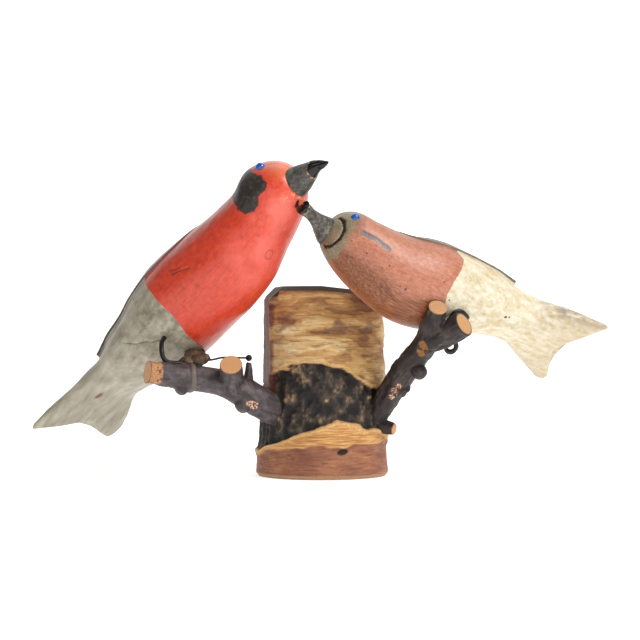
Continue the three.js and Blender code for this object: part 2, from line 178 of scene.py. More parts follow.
def tube(line, radii, around, round_ends=True):
    """Rings round a line of points, with hemispheres at its ends."""
    line = np.asarray(line, float)
    radii = np.broadcast_to(np.asarray(radii, float), (len(line),)).copy()
    tangent = np.gradient(line, axis=0)
    tangent /= np.linalg.norm(tangent, axis=1, keepdims=True)
    if round_ends:
        turns = np.radians([80, 60, 40, 20])
        head = [line[0] - tangent[0] * radii[0] * math.sin(t) for t in turns]
        tail = [line[-1] + tangent[-1] * radii[-1] * math.sin(t) for t in turns[::-1]]
        radii = np.concatenate([radii[0] * np.cos(turns), radii, radii[-1] * np.cos(turns[::-1])])
        tangent = np.concatenate([[tangent[0]] * 4, tangent, [tangent[-1]] * 4])
        line = np.concatenate([head, line, tail])
    side = np.array([0.31, 0.47, -0.83])
    u = np.cross(side, tangent)
    u /= np.linalg.norm(u, axis=1, keepdims=True)
    v = np.cross(tangent, u)
    angle = 2 * np.pi * np.arange(around) / around
    ring = u[:, None] * np.cos(angle)[None, :, None] + v[:, None] * np.sin(angle)[None, :, None]
    return line[:, None] + ring * radii[:, None, None]


def merged(parts):
    """One list of points and faces from several."""
    points, faces = [], []
    for part_points, part_faces in parts:
        first = sum(len(p) for p in points)
        points.append(np.reshape(part_points, (-1, 3)))
        faces += [tuple(first + k for k in face) for face in part_faces]
    return np.concatenate(points), faces


def ball(centre, radius, rings=24, around=32):
    tilt = np.linspace(0.02, math.pi - 0.02, rings)
    turn = 2 * np.pi * np.arange(around) / around
    rows = np.stack([
        np.sin(tilt)[:, None] * np.cos(turn),
        np.sin(tilt)[:, None] * np.sin(turn),
        np.cos(tilt)[:, None] + 0 * turn,
    ], -1)
    return loft(np.asarray(centre) + rows[::-1] * np.asarray(radius, float))


def fused(parts, voxel):
    """The outer skin of overlapping closed shapes, as points and faces."""
    points, faces = merged(parts)
    mesh = bpy.data.meshes.new("shell")
    mesh.from_pydata((points * MM).tolist(), [], faces)
    shell = bpy.data.objects.new("shell", mesh)
    bpy.context.scene.collection.objects.link(shell)
    remesh = shell.modifiers.new("fuse", "REMESH")
    remesh.mode = "VOXEL"
    remesh.voxel_size = voxel * MM
    done = bpy.data.meshes.new_from_object(shell.evaluated_get(bpy.context.evaluated_depsgraph_get()))
    co = np.empty(len(done.vertices) * 3)
    done.vertices.foreach_get("co", co)
    normal = np.empty(len(done.vertices) * 3)
    done.vertices.foreach_get("normal", normal)
    quads = [tuple(face.vertices) for face in done.polygons]
    bpy.data.objects.remove(shell)
    bpy.data.meshes.remove(mesh)
    bpy.data.meshes.remove(done)
    return co.reshape(-1, 3) / MM, normal.reshape(-1, 3), quads


# Materials

def colour(text):
    """A linear colour from a six-digit one."""
    channels = [int(text[k:k + 2], 16) / 255 for k in (0, 2, 4)]
    return [c / 12.92 if c <= 0.04045 else ((c + 0.055) / 1.055) ** 2.4 for c in channels] + [1.0]


class Surface:
    """A material built from short calls. Each call gives the socket that the next one uses."""

    def __init__(self, name, turn=(0, 0, 0)):
        self.material = bpy.data.materials.new(name)
        self.material.use_nodes = True
        self.tree = self.material.node_tree
        self.tree.nodes.clear()
        self.coordinates = self.node("ShaderNodeTexCoord").outputs["Object"]
        if any(turn):
            turned = self.node("ShaderNodeMapping", Vector=self.coordinates, Rotation=turn)
            self.coordinates = turned.outputs[0]

    def node(self, kind, settings=None, **inputs):
        made = self.tree.nodes.new(kind)
        for key, value in (settings or {}).items():
            setattr(made, key, value)
        for key, value in inputs.items():
            self.put(made.inputs[key.replace("_", " ")], value)
        return made

    def put(self, socket, value):
        if isinstance(value, bpy.types.NodeSocket):
            self.tree.links.new(value, socket)
        elif isinstance(value, str):
            socket.default_value = colour(value)
        else:
            socket.default_value = value

    def field(self, name):
        return self.node("ShaderNodeAttribute", {"attribute_name": name}).outputs["Fac"]

    def stretched(self, size):
        """Coordinates in which a bump of the given size in millimetres, one for each axis, is 1."""
        scale = [1 / (MM * s) for s in size]
        return self.node("ShaderNodeMapping", Vector=self.coordinates, Scale=scale).outputs[0]

    def noise(self, size, detail=4.0, rough=0.55, warp=0.0):
        sizes = size if isinstance(size, tuple) else (size,) * 3
        made = self.node("ShaderNodeTexNoise", Vector=self.stretched(sizes), Scale=1.0,
                         Detail=detail, Roughness=rough, Distortion=warp)
        return made.outputs["Fac"]

    def cells(self, size, feature="F1"):
        sizes = size if isinstance(size, tuple) else (size,) * 3
        made = self.node("ShaderNodeTexVoronoi", {"feature": feature}, Vector=self.stretched(sizes), Scale=1.0)
        return made.outputs["Distance"]

    def math(self, operation, a, b=0.0, clamp=False):
        made = self.node("ShaderNodeMath", {"operation": operation, "use_clamp": clamp})
        self.put(made.inputs[0], a)
        self.put(made.inputs[1], b)
        return made.outputs[0]

    def times(self, a, b):
        return self.math("MULTIPLY", a, b)

    def plus(self, a, b):
        return self.math("ADD", a, b)

    def band(self, value, low, high):
        """0 below low and 1 above high, or the other way round where low is the larger."""
        made = self.node("ShaderNodeMapRange", {"interpolation_type": "SMOOTHSTEP"}, Value=value)
        start, end = (0.0, 1.0) if low < high else (1.0, 0.0)
        self.put(made.inputs["From Min"], min(low, high))
        self.put(made.inputs["From Max"], max(low, high))
        self.put(made.inputs["To Min"], start)
        self.put(made.inputs["To Max"], end)
        return made.outputs[0]

    def mix(self, factor, a, b, blend="MIX"):
        made = self.node("ShaderNodeMix", {"data_type": "RGBA", "blend_type": blend})
        self.put(made.inputs[0], factor)
        self.put(made.inputs[6], a)
        self.put(made.inputs[7], b)
        return made.outputs[2]

    def ramp(self, value, *stops):
        made = self.node("ShaderNodeValToRGB", Fac=value)
        points = made.color_ramp.elements
        while len(points) < len(stops):
            points.new(1.0)
        for point, (place, tint) in zip(points, stops):
            point.position = place
            point.color = colour(tint)
        return made.outputs[0]

    def bump(self, height, distance, strength=1.0, under=None):
        inputs = {"Height": height, "Distance": distance * MM, "Strength": strength}
        if under is not None:
            inputs["Normal"] = under
        return self.node("ShaderNodeBump", **inputs).outputs[0]

    def finish(self, tint, roughness, normal=None, **plain):
        shader = self.node("ShaderNodeBsdfPrincipled")
        self.put(shader.inputs["Base Color"], tint)
        self.put(shader.inputs["Roughness"], roughness)
        if normal is not None:
            self.put(shader.inputs["Normal"], normal)
        for key, value in plain.items():
            shader.inputs[key.replace("_", " ")].default_value = value
        self.node("ShaderNodeOutputMaterial", Surface=shader.outputs[0])
        return self.material


# The birds. Each row of a bird is one section, from the face to the tail: distance along the body,
# height of the section's middle, half its width, half its depth, lean in degrees and squareness.

RED_BIRD = {
    "at": (-12.3, -53.6, 151.4), "tail_slope": 227.8, "tail_away": 23.5, "roll": 42, "near_side": 1,
    "sections": [
        [-0.4, -2.6, 0.6, 0.6, 27, 2], [0.2, -2.1, 5.2, 5.4, 27, 2], [2.2, -0.6, 9.5, 10.2, 27, 2],
        [5.4, 1.8, 13.3, 14.2, 24, 2], [10.6, 4.0, 16.8, 17.7, 20, 2], [19.2, 4.9, 19.6, 20.5, 15, 2],
        [30.2, 1.4, 19.5, 20.4, 10, 2], [45.4, -0.6, 22.1, 23.1, 5, 2], [65.5, 0.6, 24.6, 25.3, 3, 2],
        [85.7, 3.4, 25.8, 25.7, 1, 2], [105.8, 3.2, 25.0, 23.6, 0, 2], [121, 2.6, 22.7, 20.2, 0, 2],
        [136.1, 4.4, 20.0, 15.7, 0, 2.1], [149.2, 5.4, 17.0, 10.7, 0, 2.2], [159.3, 7.1, 16.7, 8.4, 0, 2.4],
        [169.3, 5.8, 19.9, 5.9, 0, 2.7], [179.4, 4.8, 24.2, 4.3, 0, 3], [188.5, 3.5, 27.0, 2.8, 0, 3],
    ],
    "fork": [(-1, 181.4), (-0.96, 187.5), (-0.85, 190.5), (-0.5, 188), (-0.2, 183.5), (0, 182.2),
             (0.2, 185.5), (0.5, 190.5), (0.85, 195.6), (0.96, 197.6), (1, 196.1)],
    "fork_start": 167.3, "far_lobe_width": 0.85,
    "wing": {"start": 7.4, "end": 13.0, "shoulder": 30, "middle": 62, "tip": 50, "rise": 2.4},
    "eye": {"along": 10.6, "angle": 54, "radius": 2.6},
    # Where the body paint ends: angle from the middle of the back to the near side, and place along
    "border": [(-180, 97.4), (-141, 104), (-100, 100), (-60, 94), (0, 92.5), (73, 93.7), (94, 91.7),
               (115, 90.8), (131, 90.4), (146, 91.9), (161, 94.9), (180, 97.4)],
    # Dark lines: two scratches on the breast, and a painted shadow along the crease where the belly meets the tail
    "cracks": [[(76.9, 96), (72.1, 98), (64.9, 105)], [(75.8, 90), (72, 94), (68.1, 95)],
               [(124.6, 104), (118.7, 121), (112.4, 131), (110.5, 137), (106.6, 142)]],
    "rings": 400, "around": 236,
}

BROWN_BIRD = {
    "at": (2.8, -46.5, 127.2), "tail_slope": -25.4, "tail_away": 20, "roll": 42, "near_side": -1,
    "sections": [
        [-1.6, -2.9, 0.6, 0.6, 10, 2], [-1.0, -2.7, 4.6, 4.8, 10, 2], [0.6, -2.4, 7.7, 8.1, 10, 2],
        [3, -1.9, 10.2, 10.7, 12, 2], [7.9, -1.5, 14.2, 14.8, 14, 2], [14.8, -2.2, 17.2, 18.1, 14, 2],
        [24.8, -5.1, 18.8, 19.7, 12, 2], [39.6, -7.1, 20.8, 21.4, 6, 2], [57.4, -4.3, 23.4, 23.3, 1, 2],
        [75.2, -1.6, 22.1, 21.1, 0, 2], [93.1, 2.3, 19.1, 17.3, 0, 2], [106.9, 3.9, 15.9, 13.2, 0, 2.1],
        [118.8, 4.4, 15.5, 10.9, 0, 2.3], [128.7, 3.7, 19.2, 8.9, 0, 2.6], [138.6, 2.3, 24.2, 6.1, 0, 3],
        [148.5, 0.7, 28.3, 3.2, 0, 3],
    ],
    "fork": [(-1, 151), (-0.96, 154), (-0.85, 153.8), (-0.5, 148.1), (-0.2, 143), (0, 142),
             (0.2, 144.5), (0.5, 148.5), (0.85, 152.5), (0.96, 154.4), (1, 153.4)],
    "fork_start": 132.7, "far_lobe_width": 1.03,
    "wing": {"start": 6.6, "end": 11.0, "shoulder": 30, "middle": 60, "tip": 48, "rise": 2.3},
    "eye": {"along": 9.4, "angle": 68, "radius": 2.4},
    "border": [(-180, 64), (-120, 66), (0, 65), (61, 65.5), (75, 68.5), (96, 67), (116, 64.4),
               (133, 63.7), (144, 64.8), (180, 64)],
    "pits": [(17.6, 133, 0.5), (29.7, 127, 0.45), (27.1, 136, 0.35), (42, 144, 0.6), (38.8, 144, 0.4),
             (59.2, 120, 0.4), (66.3, 140, 0.4), (9, 126, 0.4), (104.5, 146, 0.9), (106.5, 144, 0.6)],
    # Dark lines: cracks in the wood round the root of the beak
    "cracks": [[(1.6, 58), (3.2, 76), (4.5, 107), (4.2, 129), (2.6, 158), (1.6, 180)],
               [(1.6, -180), (0.7, -161)]],
    "rings": 350, "around": 236,
}

DEGREE_WIDTH = 0.33  # girth of the body for each degree round it, taken the same all over for paint marks


def bird_axes(bird):
    slope, away, roll = (math.radians(bird[key]) for key in ("tail_slope", "tail_away", "roll"))
    flat_tail = np.array([math.cos(slope), 0, math.sin(slope)])
    up = np.array([-math.sin(slope), 0, math.cos(slope)])
    up *= np.sign(up[2])
    back = np.array([0, 1.0, 0])
    tail = flat_tail * math.cos(away) + back * math.sin(away)
    behind = back * math.cos(away) - flat_tail * math.sin(away)
    dorsal = up * math.cos(roll) + behind * math.sin(roll)
    return np.stack([tail, np.cross(dorsal, tail), dorsal])


def in_frame(bird, local):
    return np.asarray(bird["at"]) + local @ bird_axes(bird)


def skin(bird, place, angle, grow=0.0, thin=1.0):
    """Points of the bird's skin in its own axes. The angle runs from the back towards the near side."""
    along, height, half_width, half_depth, lean, square = np.moveaxis(between(bird["sections"], place), -1, 0)
    power = 2 / square
    sine, cosine = np.sin(angle), np.cos(angle)
    across = np.sign(sine) * np.abs(sine) ** power
    over = np.sign(cosine) * np.abs(cosine) ** power
    lean = np.radians(lean)
    out = over * (half_depth * thin + grow)
    tail_end = bird["sections"][-1][0]
    towards_end = smooth((along - bird["fork_start"]) / (tail_end - bird["fork_start"]))
    x = along - out * np.sin(lean) + towards_end * (linear(bird["fork"], across) - tail_end)
    side_width = np.where(across < 0, 1 + (bird["far_lobe_width"] - 1) * towards_end, 1)
    y = across * (half_width + grow) * bird["near_side"] * side_width
    return np.stack([x, y, height + out * np.cos(lean)], -1)


def wing_spread(wing, t):
    """Half the angle that the folded wings cover, at a place from their shoulders, 0, to their tips, 1."""
    early = wing["shoulder"] + (wing["middle"] - wing["shoulder"]) * np.sin(np.clip(t / 0.3, 0, 1) * np.pi / 2)
    late = wing["middle"] + (wing["tip"] - wing["middle"]) * np.clip((t - 0.3) / 0.7, 0, 1)
    return np.where(t < 0.3, early, late)


def bird_places(bird, count):
    """Ring places at even steps of the body's outline, with a close pair of rings at the wing tips."""
    fine = np.linspace(0, len(bird["sections"]) - 1, 4000)
    row = between(bird["sections"], fine)
    step = np.hypot(np.gradient(row[:, 0]), np.gradient(row[:, 2]))
    path = np.cumsum(step)
    places = np.interp(np.linspace(0, path[-1], count - 4), path, fine)
    tips = bird["wing"]["end"]
    gap = np.array([-0.03, -0.012, 0.006, 0.02])
    return np.sort(np.concatenate([places, tips + gap]))


def bird_angles(bird, places, around):
    """Angles of the columns: some span the folded wings, the rest the body, with steep pairs at the edges."""
    wing = bird["wing"]
    t = np.clip((places - wing["start"]) / (wing["end"] - wing["start"]), 0, 1)
    spread = wing_spread(wing, t)[:, None]
    on_wing = int(around * 0.36) // 2 * 2
    off_wing = around - on_wing
    edge = 0.35
    w = np.linspace(-1, 1, on_wing)
    inner = (spread - edge) * w
    b = np.linspace(0, 1, off_wing)
    outer = spread + edge + (360 - 2 * (spread + edge)) * b
    return np.radians(np.concatenate([inner, outer], 1)), np.concatenate([np.ones(on_wing), np.zeros(off_wing)])


def wing_rise(bird, places, angles, on_wing):
    wing = bird["wing"]
    t = (places - wing["start"]) / (wing["end"] - wing["start"])
    spread = wing_spread(wing, np.clip(t, 0, 1))[:, None]
    w = np.clip(np.degrees(angles) / spread, -1, 1)
    # Each wing ends in a round tip, so the two leave a notch between them over the rump
    reach = 1 - 0.16 * np.clip(0.75 - np.abs(w), 0, 1) ** 2
    ended = smooth((reach - t[:, None]) / 0.006)
    begun = smooth(t[:, None] / 0.05)
    height = (0.35 + wing["rise"] * t[:, None]) * begun * ended * on_wing
    parting = groove(w * spread * DEGREE_WIDTH, 0.55, 1.0) * smooth((t[:, None] - 0.25) / 0.3)
    return height + parting * ended * begun * on_wing, begun * ended * on_wing


def bird_mesh(bird, marks):
    rings = bird["rings"]
    around = bird["around"]
    places = bird_places(bird, rings)
    angles, on_wing = bird_angles(bird, places, around)
    angles = np.where(angles > np.pi, angles - 2 * np.pi, angles)
    rise, wing = wing_rise(bird, places, angles, on_wing)
    place_grid = places[:, None] + 0 * angles
    plain = skin(bird, place_grid, angles)
    along = plain[..., 0]
    degrees = np.degrees(angles)
    girth = degrees * DEGREE_WIDTH
    fields, relief = marks(bird, plain, along, degrees, girth)
    knife = 0.22 * noise(plain, (16, 10, 10), 3) + 0.10 * noise(plain, (7, 4, 4), 4)
    grow = rise + relief + knife
    rows = [skin(bird, place_grid, angles, grow)]
    # The tail's end is rounded over
    last = np.full((4, around), float(len(bird["sections"]) - 1))
    turn = np.radians([[30], [55], [75], [88]])
    thickness = bird["sections"][-1][3]
    rounded = skin(bird, last, angles[-1:] + 0 * last, grow[-1:] * np.cos(turn), np.cos(turn))
    rounded[..., 0] += 0.8 * thickness * np.sin(turn)
    points = in_frame(bird, np.concatenate([rows[0], rounded]))
    fields["wing"] = wing
    fields["border"] = along - linear(bird["border"], degrees)
    fields["along"] = along
    fields["turn"] = np.abs(degrees) / 180
    for key in fields:
        fields[key] = np.concatenate([fields[key], np.repeat(fields[key][-1:], 4, 0)])
    top = int(np.argmin(np.abs(degrees[-1] - 90)))
    return (*loft(points, top), fields)


def path_field(along, girth, paths):
    nearest = np.full(along.shape, 50.0)
    for path in paths:
        scaled = [(a, angle * DEGREE_WIDTH) for a, angle in path]
        nearest = np.minimum(nearest, distance_to_path(along, girth, scaled))
    return nearest


def spot_field(along, girth, spots):
    """Depth inside the nearest of several round spots, each a place along, an angle and a radius."""
    depth = np.full(along.shape, -50.0)
    for a, angle, radius in spots:
        depth = np.maximum(depth, radius - np.hypot(along - a, girth - angle * DEGREE_WIDTH))
    return depth


NAPE = [(10.9, 64), (7.2, 82), (7.4, 98), (9.7, 108), (14, 112), (17, 124), (20.8, 127), (24.7, 117),
        (26.6, 100), (26.8, 75), (27.4, 55), (27.6, 0)]
# Spots where the brown bird's beak tip presses into the red bird's throat: a dent, painted near-black as the shadow in
# it
THROAT_DENT_SHADOW = [(6.4, -176, 2.1), (8.2, -166, 1.6), (10.2, -150, 1.5)]


def red_marks(bird, plain, along, degrees, girth):
    outline = [(a, angle * DEGREE_WIDTH) for a, angle in NAPE]
    outline += [(a, -angle) for a, angle in outline[-2::-1]] + [(12.5, 0)]
    crack = path_field(along, girth, bird["cracks"])
    wound = spot_field(along, np.where(girth > 40, girth - 360 * DEGREE_WIDTH, girth), THROAT_DENT_SHADOW)
    ring = np.hypot((along - 34.2) / 2.2, (np.abs(girth) - 178 * DEGREE_WIDTH) / 1.4)
    tail_knot = np.hypot((along - 164) / 3.2, (girth - 159 * DEGREE_WIDTH) / 1.8)
    relief = groove(crack, 0.45, 0.35) - 0.9 * smooth(wound / 1.6) - 0.3 * np.exp(-(tail_knot / 0.6) ** 2)
    relief += -0.12 * np.exp(-((ring - 1) / 0.2) ** 2)
    fields = {
        "nape": depth_inside(along, girth, outline),
        "crack": crack,
        "wound": wound,
        "ring": ring,
        "knot": tail_knot,
    }
    return fields, relief


def brown_marks(bird, plain, along, degrees, girth):
    crack = path_field(along, girth, bird["cracks"])
    ear = path_field(along, girth, [[(12.6, 102), (15.9, 104), (19.9, 101), (22.9, 103), (26.5, 104)]])
    pits = spot_field(along, girth, bird["pits"])
    stray = 0.5 * noise(plain, (2.2, 2.2, 2.2), 8, 2)
    filler = (5.2 - np.abs(along - 2.5 - stray * 2)) * smooth((np.abs(degrees) - 40) / 25)
    relief = groove(crack + 0.4 * stray, 0.5, 1.3) - 0.5 * smooth(pits / 0.5)
    relief += 0.35 * smooth(filler / 2.0) * (0.6 + 0.8 * noise(plain, (2.6, 2.6, 2.6), 9, 2))
    relief += groove(ear, 1.0, 0.25)
    fields = {"crack": crack, "ear": ear, "pit": pits, "filler": filler}
    return fields, relief


def eye_bead(bird, side):
    eye = bird["eye"]
    places = np.linspace(0, len(bird["sections"]) - 1, 4000)
    along = between(bird["sections"], places)[:, 0]
    place = np.interp(eye["along"], along[200:], places[200:])
    sunk = -0.7
    spot = skin(bird, np.array(place), np.array(math.radians(eye["angle"]) * side), sunk)
    return ball(in_frame(bird, spot), eye["radius"], 32, 48)


# Beaks: rows of distance along, lift, half width and half depth, in the bird's own axes.

RED_BEAK = {
    "root": (-0.5, 0), "pitch": 20, "turn": 0, "roll": 0,
    "sections": [[-7, 0.6, 5.6, 5.6], [-2.5, 0.2, 7.4, 7.4], [0.5, 0, 7.6, 7.7], [7.1, 0.7, 5.6, 5.7],
                 [11, 1.4, 4.4, 4.3], [14.1, 1.8, 3.4, 3.3], [17.5, 1, 2.3, 2.4], [19.6, 0.4, 1.6, 1.6],
                 [21.4, 0.1, 0.7, 0.7], [21.8, 0.1, 0.2, 0.2]],
}
BROWN_BEAK = {
    "root": (0.5, -0.2), "pitch": 6.4, "turn": 26, "roll": 50,
    "sections": [[-7, 0, 6.2, 6.8], [-2, 0, 6.5, 7.4], [1, 0, 6, 7.1], [4, 0.1, 5.2, 6.1],
                 [10, 0.4, 3.5, 4.1], [15.6, 0.2, 2.8, 3], [19.7, 0, 2.7, 3.4], [22.6, 0, 2.5, 3.8],
                 [23.2, 0, 2.1, 3.5], [23.6, 0, 0.6, 1]],
}


def beak_axes(bird, beak):
    """The way a beak points, its side and its top, in the bird's own axes."""
    pitch, turn, roll = (math.radians(beak[key]) for key in ("pitch", "turn", "roll"))
    side = bird["near_side"]
    forward = np.array([-math.cos(pitch) * math.cos(turn), side * math.sin(turn),
                        -math.sin(pitch) * math.cos(turn)])
    level = np.array([-math.sin(pitch), 0, math.cos(pitch)])
    near = -side * np.cross(level, forward)
    over = level * math.cos(roll) + near * math.sin(roll)
    return forward, np.cross(forward, over), over


def beak_mesh(bird, beak, shape):
    """A beak's points, faces and fields. The function shape gives relief from reach, angle and points."""
    forward, aside, over = beak_axes(bird, beak)
    rings, around = ((130, 96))
    rows = between(beak["sections"], np.linspace(0, len(beak["sections"]) - 1, rings))
    reach, lift, half_width, half_depth = (rows[:, k, None] for k in range(4))
    angle = 2 * np.pi * np.arange(around)[None] / around
    middle = np.array([beak["root"][0], 0, beak["root"][1]]) + reach[..., None] * forward + lift[..., None] * over
    outward = np.cos(angle)[..., None] * over + np.sin(angle)[..., None] * aside
    size = np.stack([half_depth * np.cos(angle), half_width * np.sin(angle)], -1)
    plain = middle + size[..., :1] * over + size[..., 1:] * aside
    relief, fields = shape(reach + 0 * angle, angle + 0 * reach, plain)
    points = in_frame(bird, plain + relief[..., None] * outward)
    fields["reach"] = reach + 0 * angle
    return (*loft(points), fields)


def red_beak_shape(reach, angle, plain):
    lower = smooth((np.abs(np.degrees(angle) - 180) - 20) / -20)
    gape = np.exp(-((np.abs(np.degrees(angle) - 180) - 74) / 9) ** 2) * smooth((reach - 12.5) / 2)
    relief = 0.16 * noise(plain, (3, 3, 3), 21, 2) - 0.45 * gape - 0.3 * lower * smooth((reach - 16.4) / 0.6)
    chip = reach - (11.4 + 1.6 * np.cos(angle) + 0.5 * noise(plain, (2, 2, 2), 22))
    relief -= 0.18 * smooth(chip / 0.5) * smooth((17 - reach) / 1.5)
    return relief, {"chip": chip, "over": np.cos(angle), "gape": gape}


def brown_beak_shape(reach, angle, plain):
    side = np.abs(np.degrees(angle) - 180)
    mouth = np.exp(-((side - 110) / 7) ** 2) * smooth((reach - 18.5) / 2.5)
    chip = reach - (21.4 + 0.7 * noise(plain, (1.6, 1.6, 1.6), 23))
    relief = 0.15 * noise(plain, (3, 2, 2), 24, 2) - 0.9 * mouth + 0.35 * smooth(chip / 0.4) * noise(plain, (1, 1, 1), 25)
    return relief, {"chip": chip, "gape": mouth, "over": np.cos(angle)}


# The log

LOG = {
    "height": 99.8, "foot_radius": 35.5, "head_radius": 30.8, "foot_chamfer": 2.5, "head_chamfer": 3,
    "head_fall": 3, "split_face": 29.3, "split_direction": 188, "split_foot": 48, "split_chamfer": 6.5,
}
# Edges of the peeled bark: angle round the log, -90 in front, and height
PEEL_TOP = [(-270, 50), (-235, 47), (-200, 49), (-172, 50.5), (-155, 52.5), (-132, 56.3), (-108, 59.3),
            (-90, 59.6), (-68, 57.8), (-55, 52), (-42, 48.5), (-20, 47), (10, 44), (45, 49), (90, 50)]
PEEL_FOOT = [(-270, 22), (-235, 18), (-200, 13), (-172, 14), (-150, 15.2), (-136, 17.4), (-121, 20.9), (-106, 24.4),
             (-92, 27), (-76, 29.6), (-58, 28.2), (-45, 25.8), (-20, 24.5), (10, 21), (45, 24), (90, 22)]
GOLD_FOOT = [(-270, 14), (-235, 12), (-200, 10), (-172, 11), (-150, 12.4), (-121, 16.2), (-90, 17.6), (-70, 17.2),
             (-45, 18), (-10, 19), (45, 15), (90, 14)]


def log_radius(height, angle):
    taper = LOG["foot_radius"] + (LOG["head_radius"] - LOG["foot_radius"]) * (height / LOG["height"]) ** 0.8
    oval = 0.5 * np.cos(2 * angle + 0.6) + 0.35 * np.cos(3 * angle - 0.8)
    return taper + oval


def log_mesh():
    rows, around = ((214, 440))
    # The back has finer columns than the front
    even = 2 * np.pi * np.arange(around) / around
    angle = (even - 0.35 * np.cos(even) * -1)[None]
    heights = np.concatenate([[0, 0.25], np.linspace(0.8, LOG["height"] - 0.8, rows - 4), [LOG["height"] - 0.25, LOG["height"]]])
    height = heights[:, None] + 0 * angle
    angle = angle + 0 * height
    degrees = (np.degrees(angle) + 270) % 360 - 270
    flat = np.stack([log_radius(height, angle) * np.cos(angle), log_radius(height, angle) * np.sin(angle), height], -1)
    wavy = 1.6 * noise(flat, (9, 9, 5), 31, 2)
    top_edge = height - linear(PEEL_TOP, degrees) - wavy
    foot_edge = linear(PEEL_FOOT, degrees) + wavy - height
    gold_edge = height - linear(GOLD_FOOT, degrees) - 0.8 * wavy
    facing = np.cos(angle - math.radians(LOG["split_direction"]))
    split = log_radius(height, angle) - (LOG["split_face"] / np.maximum(facing, 0.2))
    split = np.where((facing > 0.4) & (height > LOG["split_foot"] - 4), split, -9)
    crust = np.minimum(np.minimum(-top_edge, -foot_edge), 6)
    # Papery layers: terraces of a stretched noise
    sheet = 2.2 * (noise(flat, (26, 26, 5.5), 32, 3) + 1.1)
    terrace = np.floor(sheet) + smooth((sheet - np.floor(sheet) - 0.86) / 0.14)
    paper = 0.32 * (terrace - 1.6) + 0.14 * noise(flat, (6, 6, 1.6), 33, 2)
    cells = noise(flat, (3.6, 3.6, 5.2), 34, 3)
    crumbs = 0.95 * cells + 0.5 * np.abs(noise(flat, (1.9, 1.9, 2.4), 35, 2))
    smooth_band = 0.10 * noise(flat, (7, 7, 3), 36, 2)
    on_crust = smooth(crust / 0.8)
    on_gold = smooth(foot_edge / 0.5) * smooth(gold_edge / 0.6)
    on_paper = smooth(top_edge / 0.4)
    below = smooth(-gold_edge / 0.6)
    relief = on_crust * (-1.5 + crumbs) + on_paper * (0.4 + paper) + on_gold * (0.1 + 0.6 * paper) + below * (smooth_band - 0.7)
    # Raised lips where the bark was torn
    relief += 0.7 * np.exp(-((top_edge - 0.5) / 1.1) ** 2) + 0.8 * np.exp(-((foot_edge - 0.6) / 1.2) ** 2)
    # A chipped hole low in front, dented in here; its near-black colour is painted shadow in the hole
    chip = np.hypot((degrees + 71) * 0.6 / 3.2, (height - 14.4 - 0.08 * (degrees + 71)) / 1.5)
    relief += -1.2 * smooth(1.3 - chip)
    chamfer_foot = np.maximum(0, LOG["foot_chamfer"] - height)
    chamfer_head = np.maximum(0, LOG["head_chamfer"] - (LOG["height"] - height))
    edge_noise = 0.5 * noise(flat, (5, 5, 5), 37, 2)
    ends = smooth((chamfer_foot + chamfer_head) / 0.8)
    radius = log_radius(height, angle) + relief * (1 - ends) - chamfer_foot - chamfer_head * (1.1 + 0.3 * edge_noise)
    split_chamfer = np.maximum(0, LOG["split_chamfer"] + edge_noise - (LOG["height"] - height))
    face = (LOG["split_face"] - split_chamfer + 0.12 * noise(flat, (2.5, 2.5, 22), 38, 2)) / np.maximum(facing, 0.2)
    is_split = (facing > 0.4) & (height > LOG["split_foot"] - 4)
    held = smooth((height - LOG["split_foot"] + 4) / 7)
    radius = np.where(is_split, radius + (np.minimum(radius, face) - radius) * held, radius)
    fall = LOG["head_fall"] * (height / LOG["height"]) * np.maximum(0, np.cos(angle))
    points = np.stack([radius * np.cos(angle), radius * np.sin(angle), height - fall], -1)
    fields = {
        "crust": on_crust, "paper": on_paper, "gold": on_gold, "below": below, "layer": terrace / 5,
        "crumb": crumbs, "split": split, "lip": np.maximum(np.exp(-((top_edge - 0.5) / 1.2) ** 2),
                                                          np.exp(-((foot_edge - 0.6) / 1.3) ** 2)),
        "chamfer": np.maximum(chamfer_head, chamfer_foot * 1.0) + split_chamfer * (facing > 0.8) * 0.4,
        "headward": height / LOG["height"], "chip": 1.3 - chip,
    }
    return (*loft(points), fields)


# Branches: each row is a point of the middle line and the radius there.

LEFT_BRANCH = {
    "limb": [[-88.3, -46.1, 55.8, 6.1], [-80, -42.3, 54.6, 6.2], [-72, -38.4, 53.2, 6.6],
             [-67, -36.2, 52.6, 7.2], [-61, -33.5, 51.8, 6.6], [-51, -29.4, 49.8, 6.9], [-42.5, -26.2, 45.9, 7.6],
             [-34.5, -22.6, 41, 8.2], [-27, -19, 36.6, 8.0], [-20, -14, 32.5, 7.4]],
    "stubs": [[[-46, -27.5, 49, 6.4], [-46, -36, 54.6, 5.9], [-46, -43, 59.6, 5.7]]],
    "buds": [[[-38, -24.5, 50, 2.6], [-37.6, -25, 56.5, 2.0], [-37.4, -25.2, 60.2, 1.4]]],
    "knobs": [[-71.4, -39.3, 47.6, 3.6], [-40.4, -28.6, 38.6, 4.4]],
}
RIGHT_BRANCH = {
    "limb": [[21.5, -5, 23, 6.6], [26.8, -10.5, 30, 6.6], [31.8, -15, 38.2, 6.4], [39.2, -23.5, 50.1, 6.6],
             [45.9, -31.4, 60.7, 6.8], [53, -38.3, 69.9, 6.2], [56, -45.1, 79.4, 5.8], [58.3, -54.5, 88.7, 4.7]],
    "stubs": [[[55.7, -41.3, 72.1, 6.6], [63.5, -46.1, 75.4, 6.5], [71.6, -52, 80.2, 6.3]],
              [[27.5, -11.5, 27.5, 4.2], [33.5, -14.5, 26.2, 3.6], [38.1, -16.6, 25.2, 3.0]]],
    "buds": [[[38.4, -25.4, 57.1, 3], [39.5, -26.3, 61.5, 1.2]]],
    "knobs": [[49.9, -36.4, 55.7, 4], [40.9, -25.7, 45.7, 3.8]],
    "tendrils": [([65.6, -42.3, 68.9], 20, 2.9, 1.3), ([43.1, -27.3, 47.1], -20, 2.2, 1.0)],
}


def limb_line(rows, steps):
    made = between(rows, np.linspace(0, len(rows) - 1, steps))
    return made[:, :3], made[:, 3]


